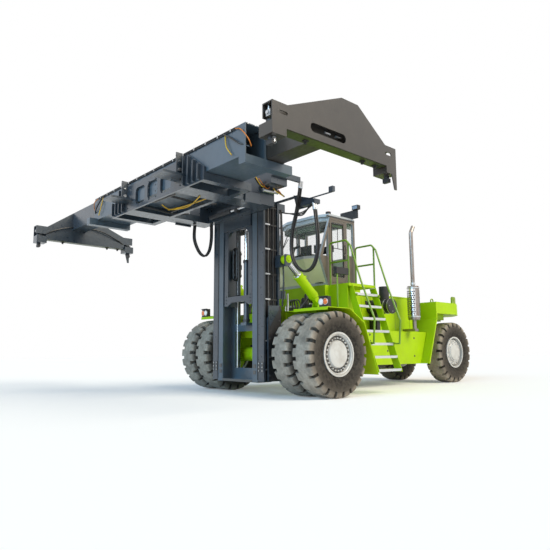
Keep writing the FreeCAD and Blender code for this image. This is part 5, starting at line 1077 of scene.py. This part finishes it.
class HANDLER_OT_deck(bpy.types.Operator):
    """Valves and hoses behind the mast, head lamps and the axle's cover."""
    bl_idname = "handler.deck"
    bl_label = "Deck details"

    DECK = 1.672             # the deck's top, where the lamp cases stand too
    LAMP_TOP = 1.862
    LENS = ((0, 0.054), (0.008, 0.054), (0.016, 0.040), (0.019, 0.0005))
    LENS_RING = ((0, 0.062), (0.010, 0.062), (0.010, 0.055), (0, 0.055))
    COVER = ((0.10, 0.26), (0.20, 0.25), (0.25, 0.20), (0.27, 0.10), (0.275, 0.0005))
    COVER_BOLTS = 0.225

    def execute(self, context):
        self.head_lamps()
        self.valves()
        self.accumulators()
        self.axle()
        return {"FINISHED"}

    def head_lamps(self):
        front, top = Edges("work_lamps").y0, self.LAMP_TOP
        for side, sign in SIDES:
            for name, x, finish in (("head_lens_", 1.885, "white_lens"),
                                    ("turn_lens_", 1.995, "orange_lens")):
                centre = (x, front, (self.DECK + top) / 2)
                Shape(sign).lathe(centre, (0, -1, 0), self.LENS).piece(
                    name + side, finish, "chassis", smooth=True)
                Shape(sign).lathe(centre, (0, -1, 0), self.LENS_RING).piece(
                    name + "ring_" + side, "steel", "chassis", smooth=True)
            Shape(sign).box((1.825, front - 0.03, top - 0.004), (2.048, front, top + 0.006)).piece(
                "lamp_hood_" + side, "black_plastic", "chassis")
            wire = ((1.94, front + 0.09, 1.72), (1.94, front + 0.16, 1.70),
                    (1.90, front + 0.26, 1.70))
            cables("lamp_lead_" + side, [wire], 0.008, "black_plastic", "chassis", signs=(sign,))

    def valves(self):
        Shape().boxes(((-0.34, 0.16, 1.36), (0.06, 0.40, 1.56)),
                      ((0.16, 0.18, 1.36), (0.40, 0.36, 1.50))).piece(
            "valve_bank", "cast_iron", "chassis")
        ports = range(6)
        Shape().rods(*(((k * 0.065 - 0.31, 0.16, z), (k * 0.065 - 0.31, 0.10, z), 0.018)
                       for k in ports for z in (1.50, 1.42)), sides=8).piece(
            "valve_ports", "steel", "chassis", smooth=True)
        lines = [[(k * 0.065 - 0.31, 0.10, 1.50), (k * 0.07 - 0.33, 0.03, 1.42),
                  (k * 0.08 - 0.36, 0.06, 1.10), (k * 0.09 - 0.40, 0.20, 0.90)] for k in ports]
        cables("valve_hoses", lines, 0.015, "hose", "chassis")
        Shape().rods(((0.57, 0.12, 1.30), (0.57, 0.12, 2.05), 0.022),
                     ((0.50, 0.12, 1.34), (0.50, 0.12, 1.80), 0.014)).piece(
            "deck_pipes", "chrome", "chassis", smooth=True)

    def accumulators(self):
        """Bottles, blocks and hoses on the deck in front of the cab."""
        deck = self.DECK
        bottles, fittings, lines = Shape(*BOTH), Shape(*BOTH), []
        for x, y, tall in ((0.62, 0.62, 0.42), (0.48, 0.66, 0.34)):
            bottles.lathe((x, y, deck), (0, 0, 1),
                          [(0, 0.0005), (0, 0.05), (tall - 0.05, 0.05), (tall - 0.01, 0.03),
                           (tall, 0.0005)], sides=24)
        for k in range(4):
            x, y = 0.19 + k * 0.06, 0.55 + k * 0.045
            fittings.rods(((x, 0.50, deck + 0.12), (x, 0.50, deck + 0.17), 0.017),
                          ((0.79, y, deck + 0.16), (0.79, y, deck + 0.20), 0.014), sides=8)
            lines.append([(x, 0.50, deck + 0.16), (0.24 + k * 0.07, 0.44, deck + 0.27),
                          (0.38 + k * 0.08, 0.40, deck + 0.24),
                          (0.50 + k * 0.08, 0.34, deck + 0.05)])
            lines.append([(0.79, y, deck + 0.19), (0.83 + k * 0.015, 0.48 + k * 0.03, deck + 0.34),
                          (0.90 + k * 0.012, 0.36, deck + 0.26),
                          (0.80 + k * 0.02, 0.22, deck + 0.05)])
        bottles.piece("deck_bottles", "black_plastic", "chassis", smooth=True)
        Shape(*BOTH).boxes(((0.72, 0.52, deck), (0.86, 0.72, deck + 0.16)),
                           ((0.16, 0.46, deck), (0.40, 0.60, deck + 0.12))).piece(
            "deck_blocks", "cast_iron", "chassis")
        fittings.piece("deck_fittings", "steel", "chassis", smooth=True)
        cables("deck_hoses", lines, 0.013, "hose", "chassis", signs=BOTH)

    def axle(self):
        Shape().lathe((0, 0, TYRE_RADIUS), (0, -1, 0), self.COVER).piece(
            "axle_cover", "body_green", "chassis", smooth=True)
        reach = self.COVER_BOLTS
        bolts = [(reach * math.cos(a), -0.20, TYRE_RADIUS + reach * math.sin(a))
                 for a in turns(10)]
        Shape().bolts(bolts, (0, -1, 0), 0.016).piece("axle_cover_bolts", "body_shade", "chassis")


# ---------------------------------------------------------------- cab

class HANDLER_OT_cab(bpy.types.Operator):
    """Seals, wipers, handles and everything inside the cab."""
    bl_idname = "handler.cab"
    bl_label = "Cab details"

    FLOOR = 2.34
    ROOF_LAMP_REAR = 1.94
    MOST_SWELL = 0.016
    BEACON = ((0.0, 0.062), (0.018, 0.062), (0.020, 0.054), (0.080, 0.050), (0.098, 0.038),
              (0.104, 0.0005))

    def execute(self, context):
        self.door()
        self.outside()
        self.dash()
        self.inside()
        self.seat()
        self.roof()
        return {"FINISHED"}

    def door(self):
        door = Edges("cab_door")
        x, low, high = door.x1, door.z0 + 0.15, door.z1 - 0.07
        front, rear = door.y0 + 0.055, door.y1 - 0.055
        strips = ((front, rear, low, low + 0.02), (front, rear, high - 0.02, high),
                  (front, front + 0.02, low, high), (rear - 0.02, rear, low, high),
                  (1.45, 1.466, 3.14, 3.62),
                  (front + 0.005, rear - 0.005, 3.13, 3.146),
                  (front + 0.005, rear - 0.005, 3.61, 3.626))
        Shape().boxes(*(((x, y0, z0), (x + 0.006, y1, z1)) for y0, y1, z0, z1 in strips)).piece(
            "door_seal", "seal", "door")
        Shape().box((x - 0.012, front + 0.005, 3.62), (x - 0.008, rear - 0.005, high)).piece(
            "door_sun_strip", "green_glass", "door")
        y = door.y1 - 0.03
        handle = Shape().tube(rounded([(x, y, 3.05), (x + 0.03, y, 3.06), (x + 0.03, y, 3.22),
                                       (x, y, 3.23)]), 0.009)
        handle.box((x, y - 0.018, 2.88), (x + 0.012, y + 0.018, 3.0))
        handle.piece("door_handle", "black_plastic", "door")
        x, y = x + 0.006, door.y0 - 0.012
        Shape().rods(*(((x, y, z), (x, y, z + 0.09), 0.013) for z in (2.60, 3.10, 3.60))).piece(
            "door_hinges", "cast_iron", "door", smooth=True)

    def outside(self):
        wipers = Shape(*BOTH)
        wipers.tube([(0.32, 0.735, 2.99), (0.288, 0.72, 3.12), (0.128, 0.80, 3.42)], 0.008)
        wipers.tube([(0.24, 0.715, 3.18), (0.112, 0.83, 3.62)], 0.010)
        wipers.rod((0.32, 0.755, 2.965), (0.32, 0.72, 2.99), 0.02)
        wipers.piece("wipers", "black_plastic", "chassis", smooth=True)
        Shape().boxes(((-0.768, 1.28, 3.66), (-0.764, 1.98, 3.80)),
                      *(((sign * 0.752, 1.80, 3.66), (sign * 0.748, 1.98, 3.80))
                        for sign in BOTH)).piece("sun_strips", "green_glass", "chassis")
        roof = Edges("cab_roof")
        Shape().boxes(((-0.80, roof.y1 - 0.03, roof.z0 - 0.004), (0.80, roof.y1, roof.z0 + 0.03)),
                      *(((sign * 0.80, 1.10, roof.z0 - 0.012),
                         (sign * 0.806, roof.y1, roof.z0 + 0.018)) for sign in BOTH)).piece(
            "roof_gutter", "cast_iron", "chassis")

    def dash(self):
        floor = self.FLOOR
        Shape().boxes(((-0.70, 1.0, floor), (0.70, 1.98, floor + 0.012)),
                      ((-0.60, 0.98, floor + 0.42), (0.60, 1.10, floor + 0.56))).piece(
            "cab_trim", "black_plastic", "chassis")
        pods = Shape().boxes(((-0.58, 0.96, floor + 0.56), (-0.30, 1.06, floor + 0.74)),
                             ((-0.16, 0.98, floor + 0.56), (0.20, 1.08, floor + 0.70)),
                             ((-0.26, 1.90, floor + 0.86), (0.26, 1.93, floor + 1.02)))
        pods.rod((0.50, 1.00, floor + 0.60), (0.50, 0.93, floor + 0.60), 0.06)
        pods.piece("instrument_pods", "black_plastic", "chassis")
        wheel = Shape().rod((0, 1.16, floor + 0.50), (0, 1.245, floor + 0.60), 0.045)
        for turn in (0.5, 2.6, 4.7):
            across, along = math.cos(turn), 0.10 * math.sin(turn)
            wheel.rod((0, 1.26, floor + 0.585), (0.17 * across, 1.28 + along,
                                                 floor + 0.60 + along), 0.014)
        wheel.piece("wheel_boss", "black_plastic", "chassis", smooth=True)
        screen = Shape().box((0.38, 1.12, floor + 0.72), (0.62, 1.15, floor + 0.90))
        screen.rod((0.55, 1.13, floor + 0.45), (0.52, 1.13, floor + 0.74), 0.014)
        screen.piece("display_case", "black_plastic", "chassis")
        Shape().box((0.395, 1.150, floor + 0.735), (0.605, 1.153, floor + 0.885)).piece(
            "display_glass", "blue_lens", "chassis")
        column = Shape().rods(((-0.30, 1.02, floor + 0.56), (-0.22, 1.10, floor + 0.92), 0.022),
                              ((-0.36, 1.08, floor + 0.90), (-0.08, 1.12, floor + 0.94), 0.030))
        column.box((0.02, 1.04, floor + 0.66), (0.36, 1.07, floor + 0.90))
        column.piece("dash_column", "black_plastic", "chassis", smooth=True)

    def inside(self):
        floor = self.FLOOR
        console = Shape(*BOTH).box((0.30, 1.42, floor + 0.30), (0.42, 1.84, floor + 0.48))
        console.rods(((0.36, 1.46, floor + 0.48), (0.36, 1.44, floor + 0.60), 0.012),
                     ((0.36, 1.44, floor + 0.60), (0.36, 1.435, floor + 0.68), 0.026))
        console.piece("arm_consoles", "black_plastic", "chassis")
        # The headliner, a real lining, made black to paint the shade under the cab roof.
        Shape().box((-0.72, 1.235, 3.835), (0.72, 1.99, 3.848)).piece(
            "cab_headliner_shade", "black_plastic", "chassis")
        Shape().box((-0.50, 1.12, 3.58), (0.50, 1.124, 3.70)).piece(
            "sun_shade", "green_glass", "chassis")
        Shape(*BOTH).rods(*(((x, 1.28, 3.87), (x, 1.96, 3.87), 0.012)
                            for x in (0.60, 0.20))).piece(
            "roof_bars", "black_plastic", "chassis", smooth=True)

    def pad(self, name, low, high):
        """A stuffed cushion, swollen from a box by cloth under pressure."""
        thing = Shape().box(low, high).made(name, "seat_fabric", smooth=True)
        remesh = thing.modifiers.new("remesh", "REMESH")
        remesh.mode = "VOXEL"
        remesh.voxel_size = 0.012
        cloth = thing.modifiers.new("cloth", "CLOTH")
        cloth.settings.use_pressure = True
        cloth.settings.uniform_pressure_force = 4.0
        cloth.settings.quality = 6
        cloth.settings.effector_weights.gravity = 0.0
        for frame_number in range(1, 21):
            bpy.context.scene.frame_set(frame_number)
        graph = bpy.context.evaluated_depsgraph_get()
        swollen = bpy.data.meshes.new_from_object(thing.evaluated_get(graph))
        thing.modifiers.clear()
        thing.data = swollen
        bpy.context.scene.frame_set(1)
        near, far = at(low), at(high)
        for vert in swollen.vertices:
            vert.co = [min(max(c, least - self.MOST_SWELL), most + self.MOST_SWELL)
                       for c, least, most in zip(vert.co, near, far)]
        swollen.shade_smooth()
        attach(thing, "chassis")

    def seat(self):
        seat = Edges("driver_seat")
        x0, x1, y0, y1, foot, top = seat.x0, seat.x1, seat.y0, seat.y1, seat.z0, seat.z1
        self.pad("seat_cushion", (x0 + 0.02, y0 + 0.02, foot + 0.315),
                 (x1 - 0.02, y1 - 0.10, foot + 0.415))
        self.pad("seat_back", (x0 + 0.02, y1 - 0.115, foot + 0.45),
                 (x1 - 0.02, y1 - 0.02, top - 0.20))
        self.pad("head_rest", (-0.14, y1 - 0.105, top - 0.165), (0.14, y1 - 0.03, top - 0.02))
        base = Shape().boxes(
            ((x0 + 0.06, y0 + 0.08, foot), (x1 - 0.06, y1 - 0.13, foot + 0.10)),
            ((x0 + 0.09, y0 + 0.11, foot + 0.10), (x1 - 0.09, y1 - 0.16, foot + 0.28)),
            ((x0 + 0.03, y0 + 0.03, foot + 0.28), (x1 - 0.03, y1 - 0.09, foot + 0.31)),
            ((x0 + 0.06, y1 - 0.02, foot + 0.30), (x1 - 0.06, y1 - 0.002, top - 0.22)))
        base.rods(*(((x, y1 - 0.06, top - 0.22), (x, y1 - 0.06, top - 0.12), 0.014)
                    for x in (0.08, -0.08)))
        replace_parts(base.piece("seat_frame", "black_plastic", "chassis"), "driver_seat")

    def roof(self):
        rear = self.ROOF_LAMP_REAR
        for side, sign in SIDES:
            Shape(sign).box((0.853, rear - 0.004, 4.122), (0.997, rear, 4.198)).piece(
                "roof_lens_" + side, "blue_lens", "chassis")
            Shape(sign).boxes(((0.838, rear - 0.008, 4.108), (1.012, rear, 4.120)),
                              ((0.838, rear - 0.008, 4.200), (1.012, rear, 4.210))).piece(
                "roof_lamp_frame_" + side, "black_plastic", "chassis")
        Shape().lathe((0.65, 1.33, 3.91), (0, 0, 1), self.BEACON).piece(
            "beacon_lens", "orange_lens", "chassis", smooth=True)
        for side, sign in SIDES:
            Shape(sign).box((1.872, 0.479, 2.342), (1.928, 0.484, 2.452)).piece(
                "mirror_glass_" + side, "chrome", "chassis")
            Shape(sign).rod((1.90, 0.18, 1.673), (1.90, 0.18, 2.331), 0.0155).piece(
                "mirror_post_" + side, "rail_green", "chassis", smooth=True)


# ---------------------------------------------------------------- sides and tail

class HANDLER_OT_sides(bpy.types.Operator):
    """Treads, rail clamps, stack shield and air cleaner."""
    bl_idname = "handler.sides"
    bl_label = "Side details"

    FOOT_X, FOOT_Z = 2.065, 0.43      # the stair's foot
    TOP_X, TOP_Z = 1.425, 2.28        # and its top
    TREADS, TREAD_DEEP, TREAD_TALL = 7, 0.180, 0.040
    TREAD_FRONT, TREAD_REAR = 1.196, 1.950
    STACK_X, STACK_Y = 1.15, 3.83
    SHIELD, HOLE = 0.150, 0.017       # radius of the shield and of its holes
    CLEANER_END = ((-0.03, 0.171), (-0.03, 0.176), (-0.01, 0.176), (0.0, 0.160), (0.0, 0.055),
                   (-0.004, 0.05), (-0.004, 0.0005))
    CLEANER_BAND = ((0, 0.170), (0, 0.1765), (0.02, 0.1765), (0.02, 0.170), (0, 0.170))
    TANK_BOLTS = ((2.30, 0.70), (2.30, 0.90), (2.30, 1.08), (2.30, 1.22), (2.95, 0.85),
                  (2.95, 1.16), (4.05, 0.72), (4.05, 1.16))

    def execute(self, context):
        self.treads()
        self.stack()
        self.cleaner()
        self.tanks()
        return {"FINISHED"}

    def stair(self, share):
        """x and z at a share of the way up the stair."""
        return (self.FOOT_X + (self.TOP_X - self.FOOT_X) * share,
                self.FOOT_Z + (self.TOP_Z - self.FOOT_Z) * share)

    def treads(self):
        """Zinc grating and nosings over the painted treads, with dark marks that paint the shade
        in the grating's openings.
        """
        front, rear = self.TREAD_FRONT, self.TREAD_REAR
        plates, slot_shades, clamps = Shape(*BOTH), Shape(*BOTH), Shape(*BOTH)
        for index in range(self.TREADS):
            x, foot = self.stair((index + 0.06) / self.TREADS)
            x, top = x - 0.015, foot + self.TREAD_TALL
            back, nose = x - self.TREAD_DEEP - 0.002, x + 0.004
            plates.boxes(((back, front, top), (nose, rear, top + 0.006)),
                         ((x, front, foot - 0.004), (nose, rear, top)))
            # Thin dark boxes on the grating paint the shade seen through its openings.
            for edge in (x - 0.045, x - 0.120):
                for y in (front + 0.05 + hole * 0.078 for hole in range(9)):
                    slot_shades.box((edge, y, top + 0.006), (edge - 0.035, y + 0.045, top + 0.007))
        for x, z in (self.stair(0.30), self.stair(0.85)):
            for y in (1.20, 1.96):
                clamps.box((x - 0.03, y - 0.012, z), (x + 0.02, y + 0.012, z + 0.05))
        plates.piece("tread_plates", "grating", "chassis")
        slot_shades.piece("tread_slot_shade", "dark_steel", "chassis")
        clamps.piece("rail_clamps", "body_shade", "chassis")

    def stack(self):
        def spot(radius, angle, z):
            return (self.STACK_X + radius * math.cos(angle),
                    self.STACK_Y + radius * math.sin(angle), z)

        shield, holes, bands = Shape(), Shape(), Shape()
        for half in (-math.pi / 2, math.pi / 2):
            angles = [half + (k / 10 - 0.5) * 1.9 for k in range(11)]
            shield.solid([[at(spot(self.SHIELD, a, z)) for a in angles]
                          + [at(spot(self.SHIELD * 0.985, a, z)) for a in reversed(angles)]
                          for z in (1.70, 2.36)])
            # Dark discs over the holes paint the shade seen through them.
            for row in range(12):
                z = 1.74 + row * 0.050
                for a in (half + ((k + row % 2 / 2) / 6 - 0.5) * 1.8 for k in range(6)):
                    holes.rod(spot(self.SHIELD - 0.001, a, z), spot(self.SHIELD + 0.002, a, z),
                              self.HOLE, sides=8)
        shield.piece("stack_shield", "chrome", "chassis", smooth=True)
        holes.piece("stack_shield_hole_shade", "dark_steel", "chassis")
        for z, inner, outer, tall in ((1.66, 0.141, 0.155, 0.03), (2.37, 0.141, 0.155, 0.03),
                                      (2.47, 0.051, 0.062, 0.05)):
            bands.lathe((self.STACK_X, self.STACK_Y, z), (0, 0, 1),
                        [(0, inner), (0, outer), (tall, outer), (tall, inner)])
        bands.piece("stack_bands", "steel", "chassis", smooth=True)

    def cleaner(self):
        case = Edges("air_cleaner")
        end, y, z = case.x1, case.y, case.z0 + 0.55
        Shape().lathe((end - 0.002, y, z), (1, 0, 0), self.CLEANER_END).piece(
            "air_cleaner_end", "cast_iron", "chassis", smooth=True)
        bands = Shape()
        for back in (0.045, 0.16, 0.36):
            bands.lathe((end - back, y, z), (1, 0, 0), self.CLEANER_BAND)
        bands.bolts(upright((end + 0.001, y, z), 0.12, turns(4)), (1, 0, 0), 0.011, 0.002)
        bands.piece("air_cleaner_bands", "steel", "chassis")

    def tanks(self):
        tanks = Edges("side_tanks")
        Shape(*BOTH).bolts([(tanks.x1, y, z) for y, z in self.TANK_BOLTS], (1, 0, 0), 0.028,
                           0.004).piece("tank_bolts", "dark_steel", "chassis")
        x = tanks.x1 - 0.10
        Shape(*BOTH).rod((x, 2.0, tanks.z1), (x, 2.0, tanks.z1 + 0.05), 0.05).piece(
            "tank_caps", "cast_iron", "chassis", smooth=True)


class HANDLER_OT_tail(bpy.types.Operator):
    """Hood seams and latches, lifting lugs and tail lamps."""
    bl_idname = "handler.tail"
    bl_label = "Tail details"

    LENS = ((0.0, 0.050), (0.014, 0.050), (0.020, 0.038), (0.022, 0.0005))
    LAMP_DOWN = 0.15         # from the counterweight's top to the lamps' middle

    def execute(self, context):
        weight = Edges("counterweight")
        self.hood(Edges("engine_hood").x1)
        self.lugs(weight.z1)
        self.lamps(weight.y1, weight.z1 - self.LAMP_DOWN)
        return {"FINISHED"}

    def hood(self, x):
        Shape(*BOTH).boxes(*(((x, y, 1.36), (x + 0.003, y + 0.012, 2.10))
                             for y in (2.30, 2.95, 3.60, 4.22))).piece(
            "hood_seams", "body_shade", "chassis")
        Shape(*BOTH).boxes(*(((x, y, 1.95), (x + 0.02, y + 0.10, 2.02))
                             for y in (2.45, 4.25))).piece("hood_latches", "cast_iron", "chassis")

    def lugs(self, top):
        Shape(*BOTH).tube(upright((1.02, 4.86, top + 0.03), 0.055, turns(14, 1)), 0.016).piece(
            "tail_rings", "body_shade", "chassis", smooth=True)
        outline = ((5.78, top - 0.002), (5.96, top - 0.002), (5.96, top + 0.16),
                   (5.93, top + 0.20), (5.81, top + 0.20), (5.78, top + 0.16))
        plates = Shape(*BOTH).sheet(outline, "X", 1.03, 1.07)
        plates.rod((1.02, 5.87, top + 0.13), (1.08, 5.87, top + 0.13), 0.04)
        plates.piece("tail_lugs", "body_shade", "chassis")

    def lamps(self, rear, z):
        for side, sign in SIDES:
            plate = Shape(sign).box((0.215, rear - 0.002, z - 0.075),
                                    (0.585, rear + 0.008, z + 0.075))
            plate.bolts([(x, rear + 0.008, z + 0.055) for x in (0.235, 0.565)], (0, 1, 0),
                        0.009, 0.004)
            plate.piece("tail_lamp_plate_" + side, "dark_steel", "chassis")
            for name, x, finish in (("stop_lens_", 0.40, "red_lens"),
                                    ("rear_turn_lens_", 0.52, "orange_lens"),
                                    ("reverse_lens_", 0.28, "white_lens")):
                Shape(sign).lathe((x, rear + 0.007, z), (0, 1, 0), self.LENS).piece(
                    name + side, finish, "chassis", smooth=True)


# ---------------------------------------------------------------- add-on

PIECES = (HANDLER_OT_stage, HANDLER_OT_finishes, HANDLER_OT_hoses, HANDLER_OT_tyres,
          HANDLER_OT_wheels, HANDLER_OT_mast, HANDLER_OT_lift, HANDLER_OT_tilt,
          HANDLER_OT_cradle, HANDLER_OT_spreader, HANDLER_OT_deck, HANDLER_OT_cab,
          HANDLER_OT_sides, HANDLER_OT_tail)


class HANDLER_PT_panel(bpy.types.Panel):
    """Lists the settings and the pieces."""
    bl_label = "Handler"
    bl_idname = "HANDLER_PT_panel"
    bl_space_type = "VIEW_3D"
    bl_region_type = "UI"
    bl_category = "Handler"

    def draw(self, context):
        for group in (context.scene.handler_paint, context.scene.handler_sizes):
            for name in group.__annotations__:
                self.layout.prop(group, name)
        for piece in PIECES:
            self.layout.operator(piece.bl_idname)


CLASSES = (HANDLER_PG_paint, HANDLER_PG_sizes, *PIECES, HANDLER_PT_panel)


def register():
    for thing in CLASSES:
        bpy.utils.register_class(thing)
    bpy.types.Scene.handler_paint = PointerProperty(type=HANDLER_PG_paint)
    bpy.types.Scene.handler_sizes = PointerProperty(type=HANDLER_PG_sizes)


def unregister():
    del bpy.types.Scene.handler_sizes
    del bpy.types.Scene.handler_paint
    for thing in reversed(CLASSES):
        bpy.utils.unregister_class(thing)


def main():
    register()
    for piece in PIECES:
        getattr(bpy.ops.handler, piece.bl_idname.split(".")[1])()


if __name__ == "__main__":
    main()
